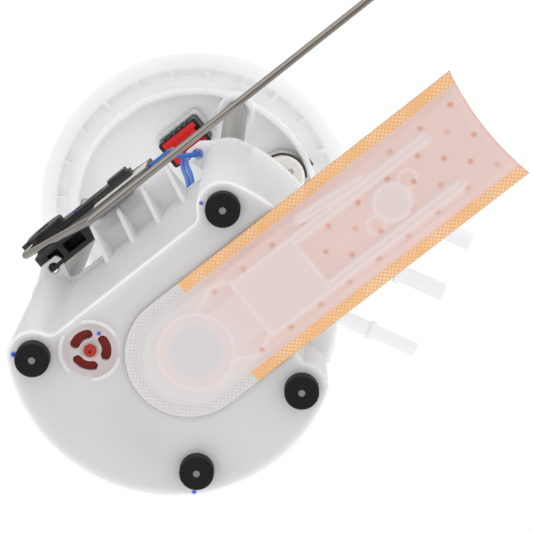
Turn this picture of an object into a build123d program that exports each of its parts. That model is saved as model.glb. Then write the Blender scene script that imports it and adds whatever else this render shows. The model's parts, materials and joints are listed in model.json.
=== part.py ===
from build123d import *
import os
from math import atan2, cos, degrees, hypot, radians, sin, sqrt, tan

# Fuel pump module that hangs in a tank from its cover.
# Frame: +Z up, millimetres. The origin is on the module's axis, on the sealing face of the cover,
# which is z = 0. The cup's flat side faces -Y, and the float arm and the strainer reach out along +X.

os.makedirs("parts", exist_ok=True)

# ---------------------------------------------------------------- driving dimensions (mm)
running_clearance = 0.06      # radial, shaft or rod in its bore
seat_gap = 0.3                # soft pieces and pieces of different bodies
snug_gap = 0.02               # radial, pieces pushed together
stop_gap = 0.05               # between pieces that stop against each other
same_place = 0.01             # edges closer than this to a place are on it
cut_over = 1.0                # how far a cut reaches past the face that it opens
weld_over = 0.2               # how far a rib reaches into the wall that it joins

# tank cover
cover_radius = 72.0
cover_thickness = 5.0
cover_edge = 1.2              # slope at the top edge
cover_recess = 2.0            # the underside inside the lip lies this far above the sealing face
skirt_radius = 57.0
skirt_wall = 2.5
skirt_depth = 9.0
groove_width = 4.0
pocket_count = 24
pocket_inner_radius = 61.5
pocket_width = 3.5
pocket_depth = 3.0
pocket_web = 1.6
pocket_start_angle = -1.7
top_rim_radius = 60.0
top_rim_width = 2.0
top_rim_height = 2.5
top_rib_count = 16
top_rib_inner_radius = 30.0
top_rib_width = 1.6
top_rib_height = 1.75
rib_seat_play = 0.5           # ribs stop this far from what stands on the cover

# pipes on the cover
pipe_angle = 63.3             # direction of the pipes, from +X
pipe_reach = 123.0            # from the axis to the tips
pipe_height = 17.0            # centre of the pipes above the sealing face
pipe_bore_wall = 1.5
supply_radius = 3.97
return_radius = 3.175
vent_radius = 3.97
bead_radius_step = 1.3
bead_width = 2.2
bead_setback = 24.0
pipe_bend = 8.0
pipe_shoulder = 0.4           # the pipes are thicker behind their beads
supply_offset = -9.0
return_offset = 22.0
vent_offset = -37.0
supply_start = 12.0
return_start = 5.0
pipe_foot_radius = 8.0
pipe_foot_height = 2.5
nipple_length = 13.0
barb_step = 0.6
barb_length = 2.4
barb_pitch = 3.2
barb_count = 3

# depth of the module and the fuel cup
hang_depth = 240.0            # sealing face to the underside of the cup
cup_radius = 60.0
cup_height = 92.0
cup_wall = 2.0
cup_floor = 2.5
cup_flat = 27.0               # axis to the flat side
flat_fillet = 4.0
flat_foot_fillet = 1.2
step_height = 30.0            # raised floor beside the pump
step_x = 31.0
step_y = -8.0
foot_circle = 50.4
flat_foot_angle = 29.9
round_foot_angle = 61.3
channel_angle = 59.0
channel_width = 6.4
channel_depth = 3.2
rim_bead = 0.8
rim_bead_height = 3.0

# feet
foot_radius = 6.25
foot_height = 5.5
foot_chamfer = 0.6
foot_pin_radius = 1.25

# guide rods
rod_radius = 5.0
rod_wall = 1.0
rod_chamfer = 0.4
rod_end_height = 65.0         # lower end of the rods above the cup's underside
collar_height = 3.0
collar_step = 1.0
rod_boss_wall = 3.5
rod_boss_depth = 12.0
bush_flange_radius = 8.0
bush_flange_height = 1.5
bush_chamfer = 0.5
sleeve_play = 0.2             # radial, rod's collar in the cup's sleeve
sleeve_floor = 1.0
spring_play = 0.4
spring_wire = 1.2

# ledge for the level sender, and the hooks at the rim
ledge_depth = 13.2
ledge_thickness = 2.5
ledge_left = -15.0
ledge_right = 24.5
gusset_count = 4
gusset_width = 1.6
gusset_height = 22.0
hook_gap = 8.7                # ledge's end to the tip of the wire hook
hook_length = 7.2
hook_setback = 0.8            # behind the ledge's front edge
hook_eye_radius = 2.3
hook_eye_inset = 3.5          # eye's centre behind the tip and the front edge
hook_mouth = 1.8
hook_corner = 1.4
hook_root = 1.0               # how far the hooks reach into the cup's wall

# one-way valve in the floor
valve_x, valve_y = -26.1, -14.3
kidney_radius = 5.85
kidney_width = 3.65
kidney_span = 60.0
guard_radius = 10.8
guard_width = 1.3
guard_height = 0.8
guard_span = 70.0
port_angles = (30, 150, 270)
umbrella_radius = 9.6
umbrella_thickness = 1.3
stem_radius = 1.6
nub_radius = 2.3
nub_height = 2.2
nub_tip_radius = 1.6
nub_dimple = 0.7

# pump
pump_x, pump_y = 4.0, 9.0
pump_radius = 19.0
pump_shell_wall = 1.2
pump_base_height = 9.0        # underside of the inlet cap above the cup's underside
pump_length = 70.0
cap_height = 11.0
cap_grip = 6.0                # how far the shell reaches over each cap
bearing_depth = 6.0
port_plate = 3.0
end_play = 0.5
cap_chamfer = 1.5
port_width = 2.6
port_angle, port_span = 20.0, 100.0
outlet_wall = 1.4
inlet_bore_radius = 6.9
outlet_radius = 4.0
outlet_height = 14.0
terminal_offset = 12.5
terminal_angle = 290
terminal_height = 5.0
terminal_width, terminal_depth = 5.0, 9.0
shaft_radius = 1.6
armature_radius = 12.0
armature_length = 28.0
armature_lift = 8.0           # above the impeller
slot_count = 8
slot_depth, slot_width = 5.5, 1.2
commutator_radius = 6.0
commutator_length = 6.0
magnet_over = 2.0             # how far the magnets reach past the armature's ends
impeller_radius = 14.5
impeller_height = 3.6
vane_count = 24
vane_depth, vane_gap = 2.6, 1.6
magnet_thickness = 4.0
magnet_span = 130.0
retainer_drop = 30.0          # below the rim
retainer_height = 10.0
retainer_wall = 2.2
retainer_arm_width = 3.0
retainer_arms = (75, 150, 350)

# strainer
sock_width = 46.1
sock_end_x = 135.9
sock_left_x = -22.3
sock_thickness = 4.2
sock_drop = 0.5               # below the cup's underside
sock_skin = 0.45
sock_end_sag = 2.5
sock_weld_width = 4.5
weld_thickness = 0.9
sock_edge = 1.2               # rounding of the pillow's lower edge
frame_disc_radius = 13.7
neck_radius = 6.5
neck_wall = 1.3
neck_height = 12.0
neck_play = 1.0
frame_gap = 0.1               # strainer's frame to the mesh above and below it
frame_rib = 2.5
frame_web = 1.0
frame_corner = 2.0
inlet_groove_count = 6
inlet_groove_width, inlet_groove_depth = 3.0, 1.8
bridge_width = 15.0
box_left, box_right = 29.3, 56.0
box_low, box_high = -2.4, 21.0
rib_end_x = 114.6
button_x, button_y, button_radius = 92.0, 9.7, 6.5
side_rib_x, side_rib_y = 62.0, -6.1
side_rib_length, side_rib_angle = 27.0, 6.4
tie_width = 1.6

# level sender
arm_y = -45.0
arm_wire_radius = 1.5
pivot_x = -36.9
pivot_height = 124.5
short_leg_out = 10.5          # elbow beyond the pivot, and below it
short_leg_drop = 14.6
knee_out = 30.1               # knee beside the pivot, and below it
knee_drop = 65.5
float_out = 196.9             # float beside the pivot
wire_bend_radius = 3.0
pin_bend_radius = 1.6
sender_face = 43.0            # outer face of the sender housing, from the axis
sender_plate = 2.4
sender_block_depth = 8.5
sender_left = -41.2
sender_block_right = -16.0
sender_right = 16.0
sender_rise = 0.5             # underside above the cup's rim
sender_crown = 10.0           # top above the pivot
sender_corner = 3.0
tab_left, tab_right = -10.0, 8.0
tab_thickness = 2.4
tab_lip = 6.0
tab_depth = 6.2               # reach of the tab over the ledge
block_slope = 8.0
block_pocket_widths = (5.5, 9.0)
block_pocket_pitch = 8.0
block_pocket_start = 4.5
block_pocket_height = 12.0
block_pocket_wall = 2.0
hub_radius = 9.0
hub_depth = 4.6
hub_fillet = 0.7
carriage_width, carriage_depth, carriage_slope = 14.0, 2.1, 8.0
wiper_reach = 44.0
wiper_height = 3.0            # centre of the wiper below the pivot
wiper_setback = 6.0           # centre of the wiper behind the carriage's end
wiper_length, wiper_width = 7.0, 5.2
wiper_finger = 1.0
wiper_bridge = 1.4
carriage_slot_length, carriage_slot_width = 16.0, 3.5
card_thickness = 0.8
card_width = 27.0
card_height = 17.0
card_x = 1.0
card_drop = 9.0               # centre of the card below the pivot
terminal_drop = 14.0          # sender's lead below the pivot

# float
float_length = 42.0
float_width = 22.0
float_height = 24.0
float_corner = 5.0
float_fillet = 1.5
float_side_gap = 1.5          # wire to the float's side
clip_radius = 4.0
clip_thickness = 0.8
arm_end_over = 2.0            # wire's end past the clip

# harness plug under the cover and the connector on top
plug_x, plug_y = 17.6, -29.4
plug_length = 21.0
plug_width = 13.0
plug_height = 19.0
lock_length = 15.0
lock_width = 6.0
lock_height = 4.0
lock_slide = 2.5
lock_proud = 1.5              # below the plug's underside
lock_corner = 0.8
lock_groove_count = 4
lock_groove_pitch, lock_groove_width, lock_groove_depth = 2.6, 1.0, 0.8
plug_corner = 1.2
grip_count = 5
grip_pitch, grip_width, grip_height = 3.0, 1.2, 0.7
grip_stop = 2.0               # ribs end this far below the socket
socket_wall = 1.8
socket_corner = 2.5
socket_depth = 8.0
connector_height = 18.0
connector_wall = 2.0
connector_floor = 2.0
connector_corner = 3.0
connector_edge = 0.8
key_width, key_depth, key_drop = 8.0, 1.2, 6.0
blade_width = 1.5
blade_thickness = 0.8
blade_pitch = 4.4
blade_count = 4
blade_setback = 5.4           # tips below the connector's mouth

# rollover vent valve
vent_valve_x, vent_valve_y = 42.0, 10.8
vent_body_radius = 10.0
vent_body_wall = 1.4
vent_body_depth = 20.0
vent_body_fillet = 1.0
vent_hole_circle, vent_hole_radius, vent_hole_count = 4.6, 1.5, 5
vent_slot_count = 4
vent_slot_length, vent_slot_width, vent_slot_height = 7.0, 2.4, 6.0
vent_dome_height = 14.0
vent_dome_roof = 2.5
vent_dome_fillet = 3.0
vent_float_radius = 7.4
vent_float_height = 11.0
vent_float_chamfer = 0.8
vent_tip_radius, vent_tip_height, vent_tip_taper = 2.2, 3.0, 25.0
vent_orifice_radius = 3.0

# pressure side inside the cup
manifold_radius = 6.0
manifold_height = 17.0
manifold_gap = 1.0            # above the pump
holder_wall = 1.4
holder_height = 8.0
holder_arm_width = 7.0
regulator_radius = 10.0
regulator_height = 16.0
regulator_offset = 24.0
regulator_angle = 200.0
regulator_fillet = 2.0
regulator_flange = 1.6
regulator_spout_radius, regulator_spout_bore, regulator_spout_height = 3.0, 1.8, 4.0
jet_x, jet_y = -32.0, 20.0
jet_length = 30.0
jet_radius = 5.0
jet_wall = 1.6
jet_lift = 2.0                # above the cup's floor
jet_foot_length, jet_foot_corner = 21.0, 2.0
jet_bore_length = 18.0
jet_nipple_height = 24.0
jet_nipple_setback = 7.5
jet_nipple_wall = 1.2
hose_wall = 1.4
run_share = 0.45              # part of a run that each bend beside it takes
supply_run, return_run = 35.0, 45.0       # straight lengths under the cover
riser_run, jet_run = 30.0, 12.0           # straight lengths over the pump, and over the rim
lead_radius = 1.0
lead_space = 0.3              # between leads side by side
lead_inset = 0.8              # leads to the plug's side
lead_low, lead_high = 50.0, 25.0          # bends of the leads under the plug
lead_sway = 4.0
sender_lead_x, pump_lead_x = 7.0, -2.0    # first lead of each pair, beside the plug's centre
lead_swing = 11.0
terminal_rise = 25.0
hook_lead_height = 8.0        # leads join this far above the rim
hook_lead_lean = (-1.5, 2.5, 12.0)
ledge_pass = (3.0, 5.5)       # where the lead turns beyond the ledge's end
ledge_front = 1.2             # and in front of the hook's edge

# ---------------------------------------------------------------- derived places
floor_z = -hang_depth
rim_z = floor_z + cup_height
inner_floor_z = floor_z + cup_floor
cover_under_z = cover_recess
cover_top_z = cover_thickness


def polar(radius, angle):
    """Point at a radius and an angle in degrees about the module's axis."""
    return (radius * cos(radians(angle)), radius * sin(radians(angle)))


foot_left = polar(foot_circle, 180 + flat_foot_angle)
foot_right = polar(foot_circle, -flat_foot_angle)
foot_front = polar(foot_circle, round_foot_angle)
foot_back = polar(foot_circle, 180 - round_foot_angle)
feet = {"left": foot_left, "right": foot_right, "front": foot_front, "back": foot_back}
rods = {"left": foot_left, "right": foot_right}
lobe_radius = cup_radius - foot_circle
sleeve_radius = rod_radius + collar_step + sleeve_play
rod_end_z = floor_z + rod_end_height
bush_bottom_z = rod_end_z + collar_height + stop_gap
sleeve_floor_z = floor_z + cup_floor + sleeve_floor
pump_base_z = floor_z + pump_base_height
pump_top_z = pump_base_z + pump_length
sock_y = pump_y


def lower_rim(builder):
    """Widest of the circular edges at the bottom of a piece."""
    return builder.edges().filter_by(GeomType.CIRCLE).group_by(Axis.Z)[0].sort_by(SortBy.RADIUS)[-1]


def keep(builder, name):
    """Label a finished piece and write its STEP file."""
    builder.part.label = name
    export_step(builder.part, f"parts/{name}.step")


# ---------------------------------------------------------------- outlines of the cup
def cup_profile():
    """Round outline with a flat side and a lobe at each end of the flat."""
    lobe_x, lobe_y = foot_right
    on_flat_x = lobe_x - sqrt(lobe_radius**2 - (cup_flat + lobe_y) ** 2)
    touch_right = polar(cup_radius, -flat_foot_angle)
    touch_left = polar(cup_radius, 180 + flat_foot_angle)
    with BuildSketch() as profile:
        with BuildLine():
            ThreePointArc(touch_left, (0, cup_radius), touch_right)
            ThreePointArc(touch_right, (lobe_x, lobe_y - lobe_radius), (on_flat_x, -cup_flat))
            Line((on_flat_x, -cup_flat), (-on_flat_x, -cup_flat))
            ThreePointArc((-on_flat_x, -cup_flat), (-lobe_x, lobe_y - lobe_radius), touch_left)
        make_face()
        corners = [v for v in profile.vertices() if abs(v.Y + cup_flat) < same_place]
        fillet(corners, flat_fillet)
    return profile.sketch


full_outline = cup_profile()

with BuildSketch() as upper_shape:
    add(full_outline)
    with Locations(polar(cup_radius - channel_depth, channel_angle)):
        Rectangle(channel_depth + cut_over, channel_width, rotation=channel_angle,
                  align=(Align.MIN, Align.CENTER), mode=Mode.SUBTRACT)

with BuildSketch() as step_cut:
    with Locations((step_x, step_y)):
        Rectangle(2 * cup_radius, 2 * cup_radius, align=(Align.MIN, Align.MIN))
    with Locations(foot_front):
        Circle(lobe_radius, mode=Mode.SUBTRACT)

with BuildSketch() as lower_shape:
    add(full_outline)
    add(step_cut.sketch, mode=Mode.SUBTRACT)

# ---------------------------------------------------------------- fuel cup
ledge_y = -cup_flat - ledge_depth
lobe_side = lobe_radius * cos(radians(45))
hook_front_y = ledge_y + hook_setback
hook_tip_x = ledge_right + hook_gap
hook_x, hook_y = hook_tip_x + hook_eye_inset, hook_front_y + hook_eye_inset
floor_bore_radius = neck_radius + neck_play

with BuildPart() as reservoir_cup:
    with BuildSketch(Plane.XY.offset(floor_z)):
        add(lower_shape.sketch)
    extrude(amount=step_height)
    flat_edge = [e for e in edges().filter_by(Axis.X) if abs(e.center().Z - floor_z) < same_place
                 and e.center().Y < -cup_flat + same_place]
    fillet(flat_edge, flat_foot_fillet)
    with BuildSketch(Plane.XY.offset(floor_z + step_height)):
        add(upper_shape.sketch)
    extrude(amount=cup_height - step_height)
    with BuildSketch(Plane.XY.offset(rim_z - rim_bead_height)):
        add(upper_shape.sketch)
        offset(amount=rim_bead)
    extrude(amount=rim_bead_height)
    # cavities below and above the step
    with BuildSketch(Plane.XY.offset(inner_floor_z)):
        add(lower_shape.sketch)
        offset(amount=-cup_wall)
    extrude(amount=step_height, mode=Mode.SUBTRACT)
    with BuildSketch(Plane.XY.offset(inner_floor_z + step_height)):
        add(upper_shape.sketch)
        offset(amount=-cup_wall)
    extrude(amount=cup_height, mode=Mode.SUBTRACT)
    # sleeves for the guide rods in the two corners
    with BuildSketch(Plane.XY.offset(floor_z + cup_floor / 2)):
        with Locations(foot_left, foot_right):
            Circle(lobe_radius)
    extrude(amount=cup_height - cup_floor / 2)
    with BuildSketch(Plane.XY.offset(sleeve_floor_z)):
        with Locations(foot_left, foot_right):
            Circle(sleeve_radius)
    extrude(amount=cup_height, mode=Mode.SUBTRACT)
    # pins for the feet
    with BuildSketch(Plane.XY.offset(floor_z + cup_floor / 2)):
        with Locations(*feet.values()):
            Circle(foot_pin_radius)
    extrude(amount=-(cup_floor / 2 + foot_height))
    # one-way valve seat: stem bore, three kidney ports and three guard ribs
    with BuildSketch(Plane.XY.offset(floor_z)):
        with Locations((valve_x, valve_y)):
            Circle(stem_radius + snug_gap)
    extrude(amount=cup_floor, mode=Mode.SUBTRACT)
    with BuildSketch(Plane.XY.offset(floor_z)):
        for angle in port_angles:
            with BuildLine(mode=Mode.PRIVATE) as kidney:
                CenterArc((valve_x, valve_y), kidney_radius, angle - kidney_span / 2, kidney_span)
            SlotArc(kidney.line.edges()[0], kidney_width)
    extrude(amount=cup_floor, mode=Mode.SUBTRACT)
    with BuildSketch(Plane.XY.offset(floor_z)):
        for angle in port_angles:
            guard_start = angle + 180 / len(port_angles) - guard_span / 2
            with BuildLine(mode=Mode.PRIVATE) as guard:
                CenterArc((valve_x, valve_y), guard_radius, guard_start, guard_span)
            SlotArc(guard.line.edges()[0], guard_width)
    extrude(amount=-guard_height)
    # bore for the strainer's neck
    with BuildSketch(Plane.XY.offset(floor_z)):
        with Locations((pump_x, pump_y)):
            Circle(floor_bore_radius)
    extrude(amount=cup_floor, mode=Mode.SUBTRACT)
    # ledge for the level sender, on gussets
    with BuildSketch(Plane.XY.offset(rim_z - ledge_thickness)):
        with Locations((ledge_left, -cup_flat)):
            Rectangle(ledge_right - ledge_left, ledge_depth, align=(Align.MIN, Align.MAX))
    extrude(amount=ledge_thickness)
    gusset_pitch = (ledge_right - ledge_left - gusset_width) / (gusset_count - 1)
    for number in range(gusset_count):
        gusset_x = ledge_left + number * gusset_pitch
        with BuildSketch(Plane.YZ.offset(gusset_x)):
            with BuildLine():
                Polyline((-cup_flat, rim_z - ledge_thickness), (ledge_y, rim_z - ledge_thickness),
                         (-cup_flat, rim_z - ledge_thickness - gusset_height), close=True)
            make_face()
        extrude(amount=gusset_width)
    # wire hook at the right corner and its twin at the left
    for side in (1, -1):
        with BuildSketch(Plane.XY.offset(rim_z - ledge_thickness)):
            with BuildLine():
                Polyline((side * foot_right[0], -cup_flat + hook_root),
                         (side * (foot_right[0] + lobe_side), foot_right[1] - lobe_side),
                         (side * (hook_tip_x + hook_length), hook_front_y),
                         (side * hook_tip_x, hook_front_y),
                         (side * (hook_tip_x - hook_root), hook_front_y + hook_eye_radius),
                         (side * (hook_tip_x + 2 * hook_root), -cup_flat + hook_root), close=True)
            make_face()
            fillet(vertices().group_by(Axis.Y)[0], hook_corner)
            with Locations((side * hook_x, hook_y)):
                Circle(hook_eye_radius, mode=Mode.SUBTRACT)
                Rectangle(hook_length, hook_mouth, mode=Mode.SUBTRACT,
                          align=(Align.MAX if side > 0 else Align.MIN, Align.CENTER))
        extrude(amount=ledge_thickness)
    with BuildSketch(Plane.XY.offset(rim_z - ledge_thickness)):
        with Locations(foot_left, foot_right):
            Circle(sleeve_radius)
    extrude(amount=2 * ledge_thickness, mode=Mode.SUBTRACT)
keep(reservoir_cup, "reservoir_cup")

# ---------------------------------------------------------------- rubber feet
for place, centre in feet.items():
    with BuildPart() as foot:
        with BuildSketch(Plane.XY.offset(floor_z - foot_height)):
            with Locations(centre):
                Circle(foot_radius)
                Circle(foot_pin_radius + snug_gap, mode=Mode.SUBTRACT)
        extrude(amount=foot_height)
        chamfer(lower_rim(foot), foot_chamfer)
    keep(foot, f"foot_{place}")

# ---------------------------------------------------------------- one-way umbrella valve
with BuildPart() as umbrella_valve:
    with BuildSketch(Plane.XZ) as umbrella_half:
        with BuildLine():
            Polyline((0, -nub_height), (nub_tip_radius, -nub_height), (nub_radius, -nub_height / 2),
                     (nub_radius, 0), (stem_radius, 0), (stem_radius, cup_floor),
                     (umbrella_radius, cup_floor),
                     (umbrella_radius, cup_floor + umbrella_thickness / 2),
                     (nub_radius, cup_floor + umbrella_thickness), (0, cup_floor + umbrella_thickness),
                     close=True)
        make_face()
    revolve(axis=Axis.Z)
    with BuildSketch(Plane.XY.offset(-nub_height)):
        Circle(nub_dimple)
    extrude(amount=nub_dimple, mode=Mode.SUBTRACT)
umbrella_valve.part = umbrella_valve.part.moved(Location((valve_x, valve_y, floor_z)))
keep(umbrella_valve, "umbrella_valve")

# ---------------------------------------------------------------- guide rods, bushes and springs
spring_radius = sleeve_radius - spring_play - spring_wire / 2
for side, (rod_x, rod_y) in rods.items():
    axis = Plane(origin=(rod_x, rod_y, 0), x_dir=(1, 0, 0), z_dir=(0, -1, 0))
    with BuildPart() as guide_rod:
        with BuildSketch(axis):
            with BuildLine():
                Polyline((rod_radius - rod_wall, rod_end_z), (rod_radius + collar_step, rod_end_z),
                         (rod_radius + collar_step, rod_end_z + collar_height),
                         (rod_radius, rod_end_z + collar_height), (rod_radius, 0),
                         (rod_radius - rod_wall, 0), close=True)
            make_face()
        revolve(axis=Axis((rod_x, rod_y, 0), (0, 0, 1)))
        chamfer(lower_rim(guide_rod), rod_chamfer)
    keep(guide_rod, f"guide_rod_{side}")

    with BuildPart() as guide_bush:
        with BuildSketch(Plane.XY.offset(bush_bottom_z)):
            with Locations((rod_x, rod_y)):
                Circle(sleeve_radius - snug_gap)
        extrude(amount=rim_z - bush_bottom_z)
        with BuildSketch(Plane.XY.offset(rim_z)):
            with Locations((rod_x, rod_y)):
                Circle(bush_flange_radius)
        extrude(amount=bush_flange_height)
        chamfer(edges().filter_by(GeomType.CIRCLE).group_by(Axis.Z)[-1], bush_chamfer)
        with BuildSketch(Plane.XY.offset(bush_bottom_z)):
            with Locations((rod_x, rod_y)):
                Circle(rod_radius + running_clearance)
        extrude(amount=cup_height, mode=Mode.SUBTRACT)
    keep(guide_bush, f"guide_bush_{side}")

    with BuildPart() as slide_spring:
        with BuildSketch(Plane.XY.offset(sleeve_floor_z + stop_gap)):
            with Locations((rod_x, rod_y)):
                Circle(spring_radius + spring_wire / 2)
                Circle(spring_radius - spring_wire / 2, mode=Mode.SUBTRACT)
        extrude(amount=rod_end_z - sleeve_floor_z - 2 * stop_gap)
    keep(slide_spring, f"slide_spring_{side}")

# ---------------------------------------------------------------- tank cover
pipe_dir = Vector(cos(radians(pipe_angle)), sin(radians(pipe_angle)), 0)
pipe_side = Vector(-sin(radians(pipe_angle)), cos(radians(pipe_angle)), 0)
supply_foot = pipe_dir * supply_start + pipe_side * supply_offset
return_foot = pipe_dir * return_start + pipe_side * return_offset
vent_centre = Vector(vent_valve_x, vent_valve_y, 0)
vent_seat = vent_centre + pipe_side * (vent_offset - vent_centre.dot(pipe_side))
vent_length = pipe_reach - vent_centre.dot(pipe_dir)
lip_inner_radius = skirt_radius + groove_width
rib_length = top_rim_radius - top_rim_width - top_rib_inner_radius
top_rib_start = pipe_angle + 180 / top_rib_count
connector_length = plug_length + 2 * connector_wall
connector_width = plug_width + 2 * connector_wall

with BuildPart() as tank_cover:
    with BuildSketch(Plane.XZ):
        with BuildLine():
            Polyline((0, cover_under_z), (skirt_radius - skirt_wall, cover_under_z),
                     (skirt_radius - skirt_wall, -skirt_depth), (skirt_radius, -skirt_depth),
                     (skirt_radius, cover_under_z), (lip_inner_radius, cover_under_z), (lip_inner_radius, 0),
                     (cover_radius, 0), (cover_radius, cover_top_z - cover_edge),
                     (cover_radius - cover_edge, cover_top_z),
                     (top_rim_radius, cover_top_z), (top_rim_radius, cover_top_z + top_rim_height),
                     (top_rim_radius - top_rim_width, cover_top_z + top_rim_height),
                     (top_rim_radius - top_rim_width, cover_top_z), (0, cover_top_z), close=True)
        make_face()
    revolve(axis=Axis.Z)
    with BuildSketch():
        Circle(pocket_inner_radius + pocket_width)
        Circle(pocket_inner_radius, mode=Mode.SUBTRACT)
        with PolarLocations(pocket_inner_radius + pocket_width / 2, pocket_count, pocket_start_angle):
            Rectangle(2 * pocket_width, pocket_web, mode=Mode.SUBTRACT)
    extrude(amount=pocket_depth, mode=Mode.SUBTRACT)
    with BuildSketch(Plane.XY.offset(cover_top_z)):
        with PolarLocations(top_rib_inner_radius + rib_length / 2, top_rib_count, top_rib_start):
            Rectangle(rib_length + 2 * weld_over, top_rib_width)
    extrude(amount=top_rib_height)
    # bosses that hold the guide rods
    with BuildSketch(Plane.XY.offset(-rod_boss_depth)):
        with Locations(foot_left, foot_right):
            Circle(rod_radius + rod_boss_wall)
    extrude(amount=rod_boss_depth + cover_under_z)
    with BuildSketch(Plane.XY.offset(-rod_boss_depth)):
        with Locations(foot_left, foot_right):
            Circle(rod_radius + snug_gap)
    extrude(amount=rod_boss_depth, mode=Mode.SUBTRACT)
    # socket for the harness plug, through to the connector on top
    with BuildSketch(Plane.XY.offset(-socket_depth)):
        with Locations((plug_x, plug_y)):
            RectangleRounded(plug_length + 2 * socket_wall, plug_width + 2 * socket_wall, socket_corner)
    extrude(amount=socket_depth + cover_under_z)
    with BuildSketch(Plane.XY.offset(-socket_depth)):
        with Locations((plug_x, plug_y)):
            RectangleRounded(plug_length + 2 * seat_gap, plug_width + 2 * seat_gap, plug_corner + seat_gap)
    extrude(amount=socket_depth + cover_under_z, mode=Mode.SUBTRACT)
    with BuildSketch(Plane.XY.offset(0)):
        with Locations((plug_x, plug_y)):
            with GridLocations(blade_pitch, 1, blade_count, 1):
                Rectangle(blade_width + 2 * snug_gap, blade_thickness + 2 * snug_gap)
    extrude(amount=cover_top_z, mode=Mode.SUBTRACT)
    # flat seats in the ribs for what stands on the cover
    with BuildSketch(Plane.XY.offset(cover_top_z)):
        with Locations((plug_x, plug_y)):
            RectangleRounded(connector_length + 2 * rib_seat_play, connector_width + 2 * rib_seat_play,
                             connector_corner)
            with Locations((0, -connector_width / 2)):
                Rectangle(key_width + 2 * rib_seat_play, 2 * (key_depth + rib_seat_play))
        with Locations((supply_foot.X, supply_foot.Y), (return_foot.X, return_foot.Y)):
            Circle(pipe_foot_radius + seat_gap)
        with Locations((vent_valve_x, vent_valve_y)):
            Circle(vent_body_radius + seat_gap)
        with Locations((vent_seat.X, vent_seat.Y)):
            Rectangle(vent_length, 2 * (vent_radius + bead_radius_step), rotation=pipe_angle,
                      align=(Align.MIN, Align.CENTER))
    extrude(amount=top_rim_height + cut_over, mode=Mode.SUBTRACT)
    # openings for the pipes and the vent valve
    with BuildSketch(Plane.XY):
        with Locations((supply_foot.X, supply_foot.Y)):
            Circle(supply_radius + snug_gap)
        with Locations((return_foot.X, return_foot.Y)):
            Circle(return_radius + snug_gap)
        with Locations((vent_valve_x, vent_valve_y)):
            Circle(vent_orifice_radius)
    extrude(amount=cover_top_z + top_rim_height, mode=Mode.SUBTRACT)
keep(tank_cover, "tank_cover")

# ---------------------------------------------------------------- pipes on the cover
def barbed_pipe(foot, radius, name):
    """Pipe from a barbed nipple under the cover, up and out over its edge to a beaded tip."""
    start = Vector(foot.X, foot.Y, -nipple_length)
    corner = Vector(foot.X, foot.Y, pipe_height)
    out = pipe_reach - foot.dot(pipe_dir)
    tip = corner + pipe_dir * out
    along = Plane(origin=tip - pipe_dir * bead_setback, z_dir=pipe_dir)
    with BuildPart() as pipe:
        with BuildLine():
            FilletPolyline(start, corner, tip, radius=pipe_bend)
        with BuildSketch(Plane(origin=start, z_dir=(0, 0, 1))):
            Circle(radius)
            Circle(radius - pipe_bore_wall, mode=Mode.SUBTRACT)
        sweep()
        with BuildSketch(Plane(origin=(foot.X, foot.Y, cover_top_z))):
            Circle(pipe_foot_radius)
            Circle(radius - pipe_bore_wall / 2, mode=Mode.SUBTRACT)
        extrude(amount=pipe_foot_height)
        with BuildSketch(along):
            Circle(radius + bead_radius_step)
            Circle(radius - pipe_bore_wall / 2, mode=Mode.SUBTRACT)
        extrude(amount=bead_width)
        with BuildSketch(along):
            Circle(radius + pipe_shoulder)
            Circle(radius - pipe_bore_wall / 2, mode=Mode.SUBTRACT)
        extrude(amount=-(out - bead_setback - pipe_bend))
        for barb in range(barb_count):
            with Locations((foot.X, foot.Y, -nipple_length + barb_step + barb_pitch * barb)):
                Cone(radius, radius + barb_step, barb_length, align=(Align.CENTER, Align.CENTER, Align.MIN))
        with BuildSketch(Plane(origin=start, z_dir=(0, 0, 1))):
            Circle(radius - pipe_bore_wall)
        extrude(amount=nipple_length + pipe_height - pipe_bend, mode=Mode.SUBTRACT)
    keep(pipe, name)


barbed_pipe(supply_foot, supply_radius, "supply_pipe")
barbed_pipe(return_foot, return_radius, "return_pipe")

# ---------------------------------------------------------------- rollover vent valve
vent_start = vent_seat + Vector(0, 0, cover_top_z + vent_dome_height / 2)
vent_bead = vent_start + pipe_dir * (vent_length - bead_setback)
vent_bottom_z = cover_under_z - vent_body_depth

with BuildPart() as vent_port:
    with BuildSketch(Plane.XY.offset(cover_top_z)):
        with Locations((vent_valve_x, vent_valve_y)):
            Circle(vent_body_radius)
    extrude(amount=vent_dome_height)
    fillet(edges().group_by(Axis.Z)[-1], vent_dome_fillet)
    with BuildSketch(Plane(origin=vent_start, z_dir=pipe_dir)):
        Circle(vent_radius)
    extrude(amount=vent_length)
    with BuildSketch(Plane(origin=vent_bead, z_dir=pipe_dir)):
        Circle(vent_radius + bead_radius_step)
    extrude(amount=bead_width)
    with BuildSketch(Plane(origin=vent_bead, z_dir=pipe_dir)):
        Circle(vent_radius + pipe_shoulder)
    extrude(amount=bead_setback - vent_length)
    with BuildSketch(Plane.XY.offset(cover_top_z)):
        with Locations((vent_valve_x, vent_valve_y)):
            Circle(vent_body_radius - vent_body_wall)
    extrude(amount=vent_dome_height - vent_dome_roof, mode=Mode.SUBTRACT)
    with BuildSketch(Plane(origin=vent_start, z_dir=pipe_dir)):
        Circle(vent_radius - pipe_bore_wall)
    extrude(amount=vent_length, mode=Mode.SUBTRACT)
keep(vent_port, "vent_port")

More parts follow.
